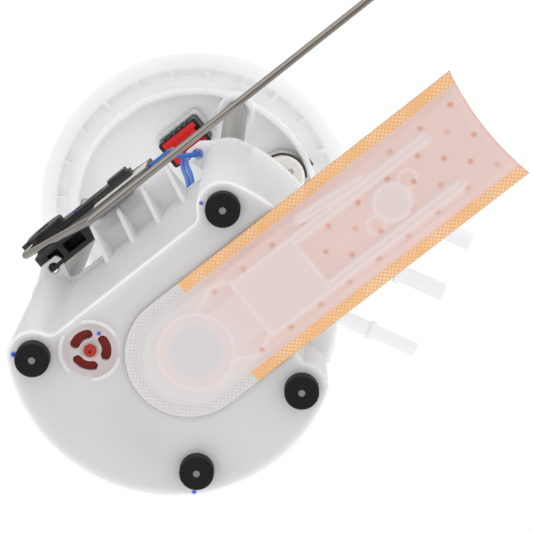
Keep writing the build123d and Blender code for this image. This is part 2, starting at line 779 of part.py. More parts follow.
with BuildPart() as vent_valve_body:
    with BuildSketch(Plane.XY.offset(vent_bottom_z)):
        with Locations((vent_valve_x, vent_valve_y)):
            Circle(vent_body_radius)
    extrude(amount=vent_body_depth)
    fillet(edges().group_by(Axis.Z)[0], vent_body_fillet)
    with BuildSketch(Plane.XY.offset(vent_bottom_z + vent_body_wall)):
        with Locations((vent_valve_x, vent_valve_y)):
            Circle(vent_body_radius - vent_body_wall)
    extrude(amount=vent_body_depth, mode=Mode.SUBTRACT)
    with BuildSketch(Plane.XY.offset(vent_bottom_z)):
        with Locations((vent_valve_x, vent_valve_y)):
            with PolarLocations(vent_hole_circle, vent_hole_count):
                Circle(vent_hole_radius)
    extrude(amount=vent_body_wall, mode=Mode.SUBTRACT)
    for slot in range(vent_slot_count):
        with BuildSketch(Plane(origin=(vent_valve_x, vent_valve_y, vent_bottom_z + vent_slot_height),
                               z_dir=(*polar(1, slot * 360 / vent_slot_count), 0))):
            SlotOverall(vent_slot_length, vent_slot_width)
        extrude(amount=2 * vent_body_radius, mode=Mode.SUBTRACT)
keep(vent_valve_body, "vent_valve_body")

vent_float_z = vent_bottom_z + vent_body_wall
with BuildPart() as vent_valve_float:
    with BuildSketch(Plane.XY.offset(vent_float_z)):
        with Locations((vent_valve_x, vent_valve_y)):
            Circle(vent_float_radius)
    extrude(amount=vent_float_height)
    chamfer(edges().filter_by(GeomType.CIRCLE), vent_float_chamfer)
    with BuildSketch(Plane.XY.offset(vent_float_z + vent_float_height)):
        with Locations((vent_valve_x, vent_valve_y)):
            Circle(vent_tip_radius)
    extrude(amount=vent_tip_height, taper=vent_tip_taper)
keep(vent_valve_float, "vent_valve_float")

# ---------------------------------------------------------------- harness plug and top connector
plug_top_z = -seat_gap
plug_bottom_z = plug_top_z - plug_height
lock_z = plug_bottom_z
with BuildPart() as harness_plug:
    with BuildSketch(Plane.XY.offset(plug_bottom_z)):
        with Locations((plug_x, plug_y)):
            RectangleRounded(plug_length, plug_width, plug_corner)
    extrude(amount=plug_height)
    # grip ribs on the long sides
    for side in (1, -1):
        with BuildSketch(Plane.XY.offset(plug_bottom_z)):
            with Locations((plug_x, plug_y + side * plug_width / 2)):
                with GridLocations(grip_pitch, 1, grip_count, 1):
                    Rectangle(grip_width, 2 * grip_height)
        extrude(amount=plug_height - socket_depth - grip_stop)
    # slot that guides the lock, and passages for the blades
    with BuildSketch(Plane.XY.offset(plug_bottom_z)):
        with Locations((plug_x + lock_slide / 2, plug_y)):
            Rectangle(lock_length + lock_slide + 2 * running_clearance, lock_width + 2 * running_clearance)
    extrude(amount=lock_height, mode=Mode.SUBTRACT)
    with BuildSketch(Plane.XY.offset(plug_bottom_z + lock_height)):
        with Locations((plug_x, plug_y)):
            with GridLocations(blade_pitch, 1, blade_count, 1):
                Rectangle(blade_width + 2 * snug_gap, blade_thickness + 2 * snug_gap)
    extrude(amount=plug_height, mode=Mode.SUBTRACT)
keep(harness_plug, "harness_plug")

with BuildPart() as plug_lock:
    with BuildSketch(Plane.XY.offset(lock_z - lock_proud)):
        with Locations((plug_x, plug_y)):
            RectangleRounded(lock_length, lock_width, lock_corner)
    extrude(amount=lock_height + lock_proud - seat_gap)
    with BuildSketch(Plane.XY.offset(lock_z - lock_proud)):
        with Locations((plug_x, plug_y)):
            with GridLocations(lock_groove_pitch, 1, lock_groove_count, 1):
                Rectangle(lock_groove_width, lock_width)
    extrude(amount=lock_groove_depth, mode=Mode.SUBTRACT)
keep(plug_lock, "plug_lock")

with BuildPart() as top_connector:
    with BuildSketch(Plane.XY.offset(cover_top_z)):
        with Locations((plug_x, plug_y)):
            RectangleRounded(connector_length, connector_width, connector_corner)
    extrude(amount=connector_height)
    fillet(edges().group_by(Axis.Z)[-1], connector_edge)
    with BuildSketch(Plane.XY.offset(cover_top_z + connector_floor)):
        with Locations((plug_x, plug_y)):
            RectangleRounded(plug_length, plug_width, plug_corner)
    extrude(amount=connector_height, mode=Mode.SUBTRACT)
    with BuildSketch(Plane.XY.offset(cover_top_z + connector_floor)):
        with Locations((plug_x, plug_y - connector_width / 2)):
            Rectangle(key_width, 2 * key_depth)
    extrude(amount=connector_height - key_drop)
    with BuildSketch(Plane.XY.offset(cover_top_z)):
        with Locations((plug_x, plug_y)):
            with GridLocations(blade_pitch, 1, blade_count, 1):
                Rectangle(blade_width + 2 * snug_gap, blade_thickness + 2 * snug_gap)
    extrude(amount=connector_floor, mode=Mode.SUBTRACT)
keep(top_connector, "top_connector")

with BuildPart() as connector_blades:
    with BuildSketch(Plane.XY.offset(-socket_depth)):
        with Locations((plug_x, plug_y)):
            with GridLocations(blade_pitch, 1, blade_count, 1):
                Rectangle(blade_width, blade_thickness)
    extrude(amount=socket_depth + cover_top_z + connector_height - blade_setback)
keep(connector_blades, "connector_blades")

# ---------------------------------------------------------------- pump
pump_axis = Axis((pump_x, pump_y, 0), (0, 0, 1))
shell_bottom_z = pump_base_z + cap_height - cap_grip
shell_top_z = pump_top_z - cap_height + cap_grip
shell_inner = pump_radius - pump_shell_wall
inlet_top_z = pump_base_z + cap_height
outlet_bottom_z = pump_top_z - cap_height
impeller_z = inlet_top_z + end_play
armature_z = impeller_z + impeller_height + armature_lift


def turned(points):
    """Close a half section, given as (radius, z), and turn it about the pump's axis."""
    with BuildSketch(Plane(origin=(pump_x, pump_y, 0), x_dir=(1, 0, 0), z_dir=(0, -1, 0))) as half_section:
        with BuildLine():
            Polyline(*points, close=True)
        make_face()
    revolve(half_section.sketch, axis=pump_axis)


with BuildPart() as pump_shell:
    turned([(shell_inner, shell_bottom_z), (pump_radius, shell_bottom_z), (pump_radius, shell_top_z),
            (shell_inner, shell_top_z)])
keep(pump_shell, "pump_shell")

with BuildPart() as pump_inlet_cap:
    turned([(inlet_bore_radius, pump_base_z), (pump_radius - cap_chamfer, pump_base_z),
            (pump_radius, pump_base_z + cap_chamfer),
            (pump_radius, shell_bottom_z), (shell_inner - snug_gap, shell_bottom_z),
            (shell_inner - snug_gap, inlet_top_z), (shaft_radius + running_clearance, inlet_top_z),
            (shaft_radius + running_clearance, inlet_top_z - port_plate),
            (inlet_bore_radius, inlet_top_z - port_plate)])
    port_radius = (inlet_bore_radius + shaft_radius + running_clearance) / 2
    with BuildSketch(Plane.XY.offset(inlet_top_z - port_plate)):
        with BuildLine(mode=Mode.PRIVATE) as inlet_port:
            CenterArc((pump_x, pump_y), port_radius, port_angle, port_span)
        SlotArc(inlet_port.line.edges()[0], port_width)
    extrude(amount=port_plate, mode=Mode.SUBTRACT)
keep(pump_inlet_cap, "pump_inlet_cap")

with BuildPart() as pump_outlet_cap:
    turned([(shaft_radius + running_clearance, outlet_bottom_z), (shell_inner - snug_gap, outlet_bottom_z),
            (shell_inner - snug_gap, shell_top_z), (pump_radius, shell_top_z),
            (pump_radius, pump_top_z - cap_chamfer), (pump_radius - cap_chamfer, pump_top_z),
            (outlet_radius, pump_top_z), (outlet_radius, pump_top_z + outlet_height),
            (outlet_radius - outlet_wall, pump_top_z + outlet_height),
            (outlet_radius - outlet_wall, outlet_bottom_z + bearing_depth),
            (shaft_radius + running_clearance, outlet_bottom_z + bearing_depth)])
    with BuildSketch(Plane.XY.offset(pump_top_z)):
        with Locations((pump_x, pump_y)):
            with PolarLocations(terminal_offset, 1, start_angle=terminal_angle):
                Rectangle(terminal_width, terminal_depth)
    extrude(amount=terminal_height)
keep(pump_outlet_cap, "pump_outlet_cap")

with BuildPart() as pump_magnets:
    with BuildSketch(Plane.XY.offset(armature_z - magnet_over)):
        with Locations((pump_x, pump_y)):
            Circle(shell_inner - snug_gap)
            Circle(shell_inner - magnet_thickness, mode=Mode.SUBTRACT)
            Rectangle(2 * pump_radius, 2 * shell_inner * cos(radians(magnet_span / 2)), mode=Mode.SUBTRACT)
    extrude(amount=armature_length + 2 * magnet_over)
keep(pump_magnets, "pump_magnets")

with BuildPart() as pump_shaft:
    turned([(0, inlet_top_z - port_plate + end_play), (shaft_radius, inlet_top_z - port_plate + end_play),
            (shaft_radius, outlet_bottom_z + bearing_depth - end_play),
            (0, outlet_bottom_z + bearing_depth - end_play)])
keep(pump_shaft, "pump_shaft")

with BuildPart() as pump_armature:
    with BuildSketch(Plane.XY.offset(armature_z)):
        with Locations((pump_x, pump_y)):
            Circle(armature_radius)
            with PolarLocations(armature_radius - slot_depth / 2, slot_count):
                Rectangle(slot_depth, slot_width, mode=Mode.SUBTRACT)
    extrude(amount=armature_length)
    with BuildSketch(Plane.XY.offset(armature_z + armature_length)):
        with Locations((pump_x, pump_y)):
            Circle(commutator_radius)
    extrude(amount=commutator_length)
    with BuildSketch(Plane.XY.offset(armature_z)):
        with Locations((pump_x, pump_y)):
            Circle(shaft_radius + snug_gap)
    extrude(amount=armature_length + commutator_length, mode=Mode.SUBTRACT)
keep(pump_armature, "pump_armature")

with BuildPart() as pump_impeller:
    with BuildSketch(Plane.XY.offset(impeller_z)):
        with Locations((pump_x, pump_y)):
            Circle(impeller_radius)
            with PolarLocations(impeller_radius - vane_depth / 2, vane_count):
                Rectangle(vane_depth + weld_over, vane_gap, mode=Mode.SUBTRACT)
            Circle(shaft_radius + snug_gap, mode=Mode.SUBTRACT)
    extrude(amount=impeller_height)
keep(pump_impeller, "pump_impeller")

# snap ring that holds the pump in the cup, on three arms
retainer_z = rim_z - retainer_drop
with BuildSketch() as cup_bore:
    add(upper_shape.sketch)
    offset(amount=-cup_wall - snug_gap)

with BuildPart() as pump_retainer:
    with BuildSketch(Plane.XY.offset(retainer_z)):
        with Locations((pump_x, pump_y)):
            Circle(pump_radius + retainer_wall)
            for angle in retainer_arms:
                Rectangle(2 * cup_radius, retainer_arm_width, rotation=angle,
                          align=(Align.MIN, Align.CENTER))
        add(cup_bore.sketch, mode=Mode.INTERSECT)
        with Locations((pump_x, pump_y)):
            Circle(pump_radius + snug_gap, mode=Mode.SUBTRACT)
    extrude(amount=retainer_height)
keep(pump_retainer, "pump_retainer")

# ---------------------------------------------------------------- strainer sock and its frame
sock_round_x = sock_left_x + sock_width / 2
sock_low_y, sock_high_y = sock_y - sock_width / 2, sock_y + sock_width / 2
sock_top_z = floor_z - sock_drop
sock_bottom_z = sock_top_z - sock_thickness

with BuildSketch() as sock_shape:
    with BuildLine():
        ThreePointArc((sock_round_x, sock_high_y), (sock_left_x, sock_y), (sock_round_x, sock_low_y))
        Line((sock_round_x, sock_low_y), (sock_end_x, sock_low_y))
        ThreePointArc((sock_end_x, sock_low_y), (sock_end_x - sock_end_sag, sock_y),
                      (sock_end_x, sock_high_y))
        Line((sock_end_x, sock_high_y), (sock_round_x, sock_high_y))
    make_face()

with BuildPart() as strainer_sock:
    with BuildSketch(Plane.XY.offset(sock_top_z - weld_thickness)):
        add(sock_shape.sketch)
    extrude(amount=weld_thickness)
    with BuildSketch(Plane.XY.offset(sock_bottom_z)):
        add(sock_shape.sketch)
        offset(amount=-sock_weld_width)
    extrude(amount=sock_thickness)
    fillet(edges().group_by(Axis.Z)[0], sock_edge)
    with BuildSketch(Plane.XY.offset(sock_bottom_z + sock_skin)):
        add(sock_shape.sketch)
        offset(amount=-sock_weld_width - sock_skin)
    extrude(amount=sock_thickness - 2 * sock_skin, mode=Mode.SUBTRACT)
    with BuildSketch(Plane.XY.offset(sock_bottom_z + sock_thickness / 2)):
        with Locations((pump_x, pump_y)):
            Circle(neck_radius + seat_gap)
    extrude(amount=sock_thickness, mode=Mode.SUBTRACT)
keep(strainer_sock, "strainer_sock")

frame_z = sock_bottom_z + sock_skin + frame_gap
frame_height = sock_thickness - 2 * sock_skin - 2 * frame_gap
box_x, box_y = (box_left + box_right) / 2, (box_low + box_high) / 2
box_length, box_width = box_right - box_left, box_high - box_low
bridge_start = pump_x + frame_disc_radius - cut_over

with BuildPart() as strainer_frame:
    with BuildSketch(Plane.XY.offset(frame_z)):
        with Locations((pump_x, pump_y)):
            Circle(frame_disc_radius)
        with Locations((box_x, box_y)):
            RectangleRounded(box_length, box_width, frame_corner)
            Rectangle(box_length - 2 * frame_rib, box_width - 2 * frame_rib, mode=Mode.SUBTRACT)
        with Locations((bridge_start, pump_y)):
            Rectangle(box_left + cut_over - bridge_start, bridge_width, align=(Align.MIN, Align.CENTER))
        for rib_y in (box_low + frame_rib / 2, box_high - frame_rib / 2):
            with Locations((box_right - cut_over, rib_y)):
                Rectangle(rib_end_x - box_right + cut_over, frame_rib, align=(Align.MIN, Align.CENTER))
            with Locations((rib_end_x, rib_y)):
                Circle(frame_rib / 2)
        with Locations((button_x, button_y)):
            Circle(button_radius)
        with Locations((side_rib_x, side_rib_y)):
            Rectangle(side_rib_length, frame_rib, rotation=side_rib_angle, align=(Align.MIN, Align.CENTER))
    extrude(amount=frame_height)
    # thin plate and ties along the top that join the ribs
    with BuildSketch(Plane.XY.offset(frame_z + frame_height - frame_web)):
        with Locations((box_x, box_y)):
            Rectangle(box_length - frame_rib, box_width - frame_rib)
        with Locations((box_right - cut_over, button_y)):
            Rectangle(button_x - box_right + cut_over, frame_rib, align=(Align.MIN, Align.CENTER))
        for tie_x in (side_rib_x + tie_width, side_rib_x + side_rib_length, rib_end_x - tie_width):
            with Locations((tie_x, side_rib_y)):
                Rectangle(tie_width, box_high - side_rib_y, align=(Align.CENTER, Align.MIN))
    extrude(amount=frame_web)
    with BuildSketch(Plane.XY.offset(frame_z + frame_height - weld_over)):
        with Locations((pump_x, pump_y)):
            Circle(neck_radius)
    extrude(amount=neck_height)
    # inlet bore, and grooves that lead fuel to it from the sides
    with BuildSketch(Plane.XY.offset(frame_z)):
        with Locations((pump_x, pump_y)):
            Circle(neck_radius - neck_wall)
    extrude(amount=neck_height + frame_height, mode=Mode.SUBTRACT)
    with BuildSketch(Plane.XY.offset(frame_z)):
        with Locations((pump_x, pump_y)):
            with PolarLocations(frame_disc_radius / 2, inlet_groove_count, 90 / inlet_groove_count):
                Rectangle(frame_disc_radius + cut_over, inlet_groove_width)
    extrude(amount=inlet_groove_depth, mode=Mode.SUBTRACT)
keep(strainer_frame, "strainer_frame")

# ---------------------------------------------------------------- outlet manifold, regulator and jet pump
manifold_z = pump_top_z + manifold_gap
regulator_x = pump_x + regulator_offset * cos(radians(regulator_angle))
regulator_y = pump_y + regulator_offset * sin(radians(regulator_angle))


def barbs(x, y, top_z, radius):
    """Barbs around a nipple that points up to top_z."""
    for barb in range(barb_count):
        with Locations((x, y, top_z - barb_step - barb_pitch * barb)):
            Cone(radius + barb_step, radius, barb_length, align=(Align.CENTER, Align.CENTER, Align.MAX))


with BuildPart() as outlet_manifold:
    with BuildSketch(Plane.XY.offset(manifold_z)):
        with Locations((pump_x, pump_y)):
            Circle(manifold_radius)
    extrude(amount=manifold_height)
    with BuildSketch(Plane.XY.offset(manifold_z)):
        with Locations((regulator_x, regulator_y)):
            Circle(regulator_radius + holder_wall)
        with Locations((pump_x, pump_y)):
            Rectangle(regulator_offset, holder_arm_width, rotation=regulator_angle,
                      align=(Align.MIN, Align.CENTER))
    extrude(amount=holder_height)
    with BuildSketch(Plane.XY.offset(manifold_z + manifold_height)):
        with Locations((pump_x, pump_y)):
            Circle(supply_radius)
    extrude(amount=nipple_length)
    barbs(pump_x, pump_y, manifold_z + manifold_height + nipple_length, supply_radius)
    with BuildSketch(Plane.XY.offset(manifold_z + holder_wall)):
        with Locations((regulator_x, regulator_y)):
            Circle(regulator_radius + snug_gap)
    extrude(amount=holder_height, mode=Mode.SUBTRACT)
    with BuildSketch(Plane.XY.offset(manifold_z)):
        with Locations((pump_x, pump_y)):
            Circle(outlet_radius + snug_gap)
    extrude(amount=outlet_height - manifold_gap + seat_gap, mode=Mode.SUBTRACT)
    with BuildSketch(Plane.XY.offset(manifold_z)):
        with Locations((pump_x, pump_y)):
            Circle(supply_radius - pipe_bore_wall)
    extrude(amount=manifold_height + nipple_length, mode=Mode.SUBTRACT)
keep(outlet_manifold, "outlet_manifold")

with BuildPart() as pressure_regulator:
    with BuildSketch(Plane.XY.offset(manifold_z + holder_wall)):
        with Locations((regulator_x, regulator_y)):
            Circle(regulator_radius)
    extrude(amount=regulator_height)
    fillet(edges().group_by(Axis.Z)[-1], regulator_fillet)
    with BuildSketch(Plane.XY.offset(manifold_z + holder_height + holder_wall + stop_gap)):
        with Locations((regulator_x, regulator_y)):
            Circle(regulator_radius + holder_wall)
    extrude(amount=regulator_flange)
    with BuildSketch(Plane.XY.offset(manifold_z + holder_wall + regulator_height)):
        with Locations((regulator_x, regulator_y)):
            Circle(regulator_spout_radius)
            Circle(regulator_spout_bore, mode=Mode.SUBTRACT)
    extrude(amount=regulator_spout_height)
keep(pressure_regulator, "pressure_regulator")

jet_z = inner_floor_z + jet_lift + jet_radius
jet_nipple_y = jet_y - jet_nipple_setback
jet_nipple_top_z = jet_z + jet_nipple_height
with BuildPart() as jet_pump:
    with BuildSketch(Plane.XZ.offset(-(jet_y + jet_length / 2))):
        with Locations((jet_x, jet_z)):
            Circle(jet_radius)
    extrude(amount=jet_length)
    with BuildSketch(Plane.XY.offset(inner_floor_z)):
        with Locations((jet_x, jet_y)):
            RectangleRounded(2 * jet_radius, jet_foot_length, jet_foot_corner)
    extrude(amount=jet_radius)
    with BuildSketch(Plane.XY.offset(jet_z)):
        with Locations((jet_x, jet_nipple_y)):
            Circle(return_radius)
    extrude(amount=jet_nipple_top_z - jet_z)
    barbs(jet_x, jet_nipple_y, jet_nipple_top_z, return_radius)
    with BuildSketch(Plane.XZ.offset(-(jet_y + jet_length / 2))):
        with Locations((jet_x, jet_z)):
            Circle(jet_radius - jet_wall)
    extrude(amount=jet_bore_length, mode=Mode.SUBTRACT)
    with BuildSketch(Plane.XY.offset(jet_z)):
        with Locations((jet_x, jet_nipple_y)):
            Circle(return_radius - jet_nipple_wall)
    extrude(amount=jet_nipple_top_z - jet_z, mode=Mode.SUBTRACT)
keep(jet_pump, "jet_pump")

# ---------------------------------------------------------------- level sender
pivot_z = floor_z + pivot_height
elbow_x, elbow_z = pivot_x - short_leg_out, pivot_z - short_leg_drop
knee_x, knee_z = pivot_x + knee_out, pivot_z - knee_drop
float_x = pivot_x + float_out
sender_bottom_z = rim_z + sender_rise
sender_top_z = pivot_z + sender_crown
card_z = pivot_z - card_drop
pin_end_y = -sender_face + sender_block_depth - arm_wire_radius

with BuildPart() as sender_housing:
    with BuildSketch(Plane.XZ.offset(sender_face - sender_plate)):
        with BuildLine():
            Polyline((sender_left + sender_corner, sender_bottom_z),
                     (sender_right - block_slope, sender_bottom_z),
                     (sender_right, sender_bottom_z + block_slope), (sender_right, pivot_z),
                     (tab_right - sender_corner, sender_top_z - sender_corner),
                     (sender_block_right, sender_top_z), (sender_left + sender_corner, sender_top_z),
                     (sender_left, sender_top_z - sender_corner),
                     (sender_left, sender_bottom_z + sender_corner), close=True)
        make_face()
    extrude(amount=sender_plate)
    # thick end that carries the pivot
    with BuildSketch(Plane.XZ.offset(sender_face - sender_block_depth)):
        with BuildLine():
            Polyline((sender_left, sender_bottom_z), (sender_block_right, sender_bottom_z),
                     (sender_block_right, sender_top_z - sender_corner - block_slope),
                     (sender_block_right - block_slope, sender_top_z - sender_corner),
                     (sender_left, sender_top_z - sender_corner), close=True)
        make_face()
    extrude(amount=sender_block_depth)
    with BuildSketch(Plane.XY.offset(sender_bottom_z)):
        for number, pocket_wide in enumerate(block_pocket_widths):
            with Locations((sender_left + block_pocket_start + number * block_pocket_pitch,
                            -sender_face + block_pocket_wall)):
                Rectangle(pocket_wide, sender_block_depth - 2 * block_pocket_wall,
                          align=(Align.MIN, Align.MIN))
    extrude(amount=block_pocket_height, mode=Mode.SUBTRACT)
    # tab that sits on the ledge, and the lip in front of it
    with BuildSketch(Plane.XY.offset(rim_z)):
        with Locations(((tab_left + tab_right) / 2, -sender_face)):
            Rectangle(tab_right - tab_left, sender_face + ledge_y + tab_depth,
                      align=(Align.CENTER, Align.MIN))
    extrude(amount=tab_thickness)
    with BuildSketch(Plane.XZ.offset(sender_face - sender_plate)):
        with Locations(((tab_left + tab_right) / 2, sender_bottom_z)):
            Rectangle(tab_right - tab_left, tab_lip, align=(Align.CENTER, Align.MAX))
    extrude(amount=sender_plate)
    # recess for the resistor card
    with BuildSketch(Plane.XZ.offset(sender_face - card_thickness)):
        with Locations((card_x, card_z)):
            Rectangle(card_width + 2 * snug_gap, card_height + 2 * snug_gap)
    extrude(amount=card_thickness, mode=Mode.SUBTRACT)
    # pivot bore
    with BuildSketch(Plane.XZ):
        with Locations((pivot_x, pivot_z)):
            Circle(arm_wire_radius + running_clearance)
    extrude(amount=2 * sender_face, mode=Mode.SUBTRACT)
keep(sender_housing, "sender_housing")

with BuildPart() as resistor_card:
    with BuildSketch(Plane.XZ.offset(sender_face - card_thickness)):
        with Locations((card_x, card_z)):
            Rectangle(card_width, card_height)
    extrude(amount=card_thickness)
keep(resistor_card, "resistor_card")

float_y = arm_y - arm_wire_radius - float_side_gap - float_width / 2
arm_end_y = float_y - float_width / 2 - clip_thickness - arm_end_over
arm_route = [(pivot_x, pin_end_y, pivot_z), (pivot_x, arm_y, pivot_z), (elbow_x, arm_y, elbow_z),
             (knee_x, arm_y, knee_z), (float_x, arm_y, knee_z), (float_x, arm_end_y, knee_z)]
with BuildPart() as float_arm:
    with BuildLine():
        FilletPolyline(*arm_route, radius=[pin_bend_radius] + 3 * [wire_bend_radius])
    with BuildSketch(Plane(origin=arm_route[0], z_dir=(0, -1, 0))):
        Circle(arm_wire_radius)
    sweep()
keep(float_arm, "float_arm")

hub_y = -sender_face - seat_gap
short_leg_angle = degrees(atan2(elbow_z - pivot_z, elbow_x - pivot_x))
short_leg = hypot(elbow_z - pivot_z, elbow_x - pivot_x)
wiper_x, wiper_z = pivot_x + wiper_reach - wiper_setback, pivot_z - wiper_height
with BuildPart() as arm_hub:
    with BuildSketch(Plane.XZ.offset(-hub_y)):
        with Locations((pivot_x, pivot_z)):
            Circle(hub_radius)
    extrude(amount=hub_depth)
    fillet(edges().group_by(Axis.Y)[0], hub_fillet)
    # carriage for the wiper
    with BuildSketch(Plane.XZ.offset(-hub_y)):
        with BuildLine():
            Polyline((pivot_x, pivot_z + carriage_width / 2),
                     (pivot_x + wiper_reach - carriage_slope, wiper_z + wiper_width),
                     (pivot_x + wiper_reach, wiper_z + wiper_width / 2),
                     (pivot_x + wiper_reach, wiper_z - wiper_width),
                     (pivot_x, pivot_z - carriage_width / 2), close=True)
        make_face()
        with Locations((pivot_x + wiper_reach / 2, (pivot_z + wiper_z) / 2)):
            SlotOverall(carriage_slot_length, carriage_slot_width, mode=Mode.SUBTRACT)
    extrude(amount=carriage_depth)
    with BuildSketch(Plane.XZ.offset(-hub_y)):
        with Locations((wiper_x, wiper_z)):
            Rectangle(wiper_length + 2 * wiper_finger, wiper_width + 2 * wiper_finger)
    extrude(amount=hub_depth - wiper_finger)
    # leg down to the elbow, and the channel in it that grips the wire
    with BuildSketch(Plane.XZ.offset(-hub_y)):
        with Locations((pivot_x, pivot_z)):
            Rectangle(short_leg - 2 * wire_bend_radius, hub_radius, rotation=short_leg_angle,
                      align=(Align.MIN, Align.CENTER))
    extrude(amount=hub_depth)
    with BuildSketch(Plane.XZ.offset(-arm_y - arm_wire_radius - snug_gap)):
        with Locations((pivot_x, pivot_z)):
            Rectangle(2 * short_leg, 2 * (arm_wire_radius + snug_gap), rotation=short_leg_angle,
                      align=(Align.MIN, Align.CENTER))
            Circle(arm_wire_radius + pin_bend_radius)
    extrude(amount=hub_depth, mode=Mode.SUBTRACT)
    with BuildSketch(Plane.XZ):
        with Locations((pivot_x, pivot_z)):
            Circle(arm_wire_radius + snug_gap)
    extrude(amount=2 * sender_face, mode=Mode.SUBTRACT)
keep(arm_hub, "arm_hub")

with BuildPart() as wiper_contact:
    with BuildSketch(Plane.XZ.offset(sender_face + stop_gap)):
        with Locations((wiper_x, wiper_z)):
            with GridLocations(wiper_length, (wiper_width - wiper_finger) / 2, 1, 3):
                Rectangle(wiper_length, wiper_finger)
            Rectangle(wiper_bridge, wiper_width)
    extrude(amount=seat_gap - stop_gap - snug_gap)
keep(wiper_contact, "wiper_contact")

with BuildPart() as level_float:
    with BuildSketch(Plane.XZ.offset(-float_y - float_width / 2)):
        with Locations((float_x, knee_z)):
            RectangleRounded(float_length, float_height, float_corner)
    extrude(amount=float_width)
    fillet(edges().group_by(Axis.Y)[0] + edges().group_by(Axis.Y)[-1], float_fillet)
    with BuildSketch(Plane.XZ.offset(-float_y - float_width / 2)):
        with Locations((float_x, knee_z)):
            Circle(arm_wire_radius + running_clearance)
    extrude(amount=float_width, mode=Mode.SUBTRACT)
keep(level_float, "level_float")

with BuildPart() as float_clip:
    with BuildSketch(Plane.XZ.offset(-float_y + float_width / 2 + seat_gap)):
        with Locations((float_x, knee_z)):
            Circle(clip_radius)
            Circle(arm_wire_radius + snug_gap, mode=Mode.SUBTRACT)
    extrude(amount=clip_thickness)
keep(float_clip, "float_clip")

# ---------------------------------------------------------------- hoses and leads, held at both ends
def bends(points):
    """Radius at each inner point of a route, as large as the runs beside it allow."""
    radii = []
    for before, here, after in zip(points, points[1:], points[2:]):
        run_in, run_out = Vector(*here) - Vector(*before), Vector(*after) - Vector(*here)
        half_turn = radians(run_in.get_angle(run_out)) / 2
        radii.append(run_share * min(run_in.length, run_out.length) / tan(half_turn))
    return radii


def hose(points, bore, name):
    """Hose along straight runs and tangent arcs."""
    radii = bends(points)
    print(name, "bend radii", [round(radius, 1) for radius in radii])
    with BuildPart() as tube:
        with BuildLine():
            FilletPolyline(*points, radius=radii)
        with BuildSketch(Plane(origin=points[0], z_dir=Vector(*points[1]) - Vector(*points[0]))):
            Circle(bore + hose_wall)
            Circle(bore, mode=Mode.SUBTRACT)
        sweep()
    keep(tube, name)


supply_bore = supply_radius + barb_step + stop_gap
return_bore = return_radius + barb_step + stop_gap
hose_top_z = -seat_gap
supply_bottom_z = manifold_z + manifold_height + seat_gap
hose([(pump_x, pump_y, supply_bottom_z), (pump_x, pump_y, supply_bottom_z + riser_run),
      (supply_foot.X, supply_foot.Y, hose_top_z - supply_run), (supply_foot.X, supply_foot.Y, hose_top_z)],
     supply_bore, "supply_hose")
return_bottom_z = jet_nipple_top_z - nipple_length + seat_gap
hose([(jet_x, jet_nipple_y, return_bottom_z), (jet_x, jet_nipple_y, rim_z + jet_run),
      (return_foot.X, return_foot.Y, hose_top_z - return_run), (return_foot.X, return_foot.Y, hose_top_z)],
     return_bore, "return_hose")

# leads: two side by side from the sender over the hook, two from the hook to the plug, two from the pump
lead_pitch = 2 * lead_radius + lead_space


def lead_pair(points, count, name):
    """Equal leads side by side, each moved from the last along -X by the leads' pitch."""
    radii = bends(points)
    print(name, "bend radii", [round(radius, 1) for radius in radii])
    with BuildPart() as leads:
        for number in range(count):
            moved = [Vector(x - number * lead_pitch, y, z) for x, y, z in points]
            with BuildLine():
                FilletPolyline(*moved, radius=radii)
            with BuildSketch(Plane(origin=moved[0], z_dir=moved[1] - moved[0])):
                Circle(lead_radius)
            sweep()
    keep(leads, name)


sender_lead_y = -sender_face + sender_plate / 2
sender_lead_z = pivot_z - terminal_drop
pass_x, turn_x = ledge_right + ledge_pass[0], ledge_right + ledge_pass[1]
hook_under_z = rim_z - ledge_thickness - seat_gap - lead_radius
hook_over_z = rim_z + hook_lead_height
lead_pair([(sender_right + stop_gap, sender_lead_y, sender_lead_z), (pass_x, sender_lead_y, sender_lead_z),
           (turn_x, hook_front_y - ledge_front, hook_under_z), (hook_x, hook_y, hook_under_z),
           (hook_x, hook_y, hook_over_z)], 1, "sender_lead")

lead_y = plug_y + plug_width / 2 - lead_radius - lead_inset
low_z, high_z, lead_end_z = plug_bottom_z - lead_low, plug_bottom_z - lead_high, plug_bottom_z - seat_gap
lean_x, lean_y, lean_z = hook_lead_lean
sender_wire_x = plug_x + sender_lead_x
lead_pair([(hook_x, hook_y, hook_over_z + seat_gap),
           (hook_x + lean_x, hook_y + lean_y, hook_over_z + lean_z),
           (plug_x + lead_swing, lead_y, low_z), (sender_wire_x, lead_y, high_z),
           (sender_wire_x, lead_y, lead_end_z)], 2, "sender_wires")

terminal_x = pump_x + terminal_offset * cos(radians(terminal_angle))
terminal_y = pump_y + terminal_offset * sin(radians(terminal_angle))
terminal_z = pump_top_z + terminal_height + seat_gap
pump_wire_x = plug_x + pump_lead_x
lead_pair([(terminal_x, terminal_y, terminal_z), (terminal_x, terminal_y, terminal_z + terminal_rise),
           (plug_x, lead_y + lead_sway, low_z), (pump_wire_x, lead_y, high_z),
           (pump_wire_x, lead_y, lead_end_z)], 2, "pump_wires")
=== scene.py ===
import json
import math

import bpy
import numpy as np
from mathutils import Matrix, Vector


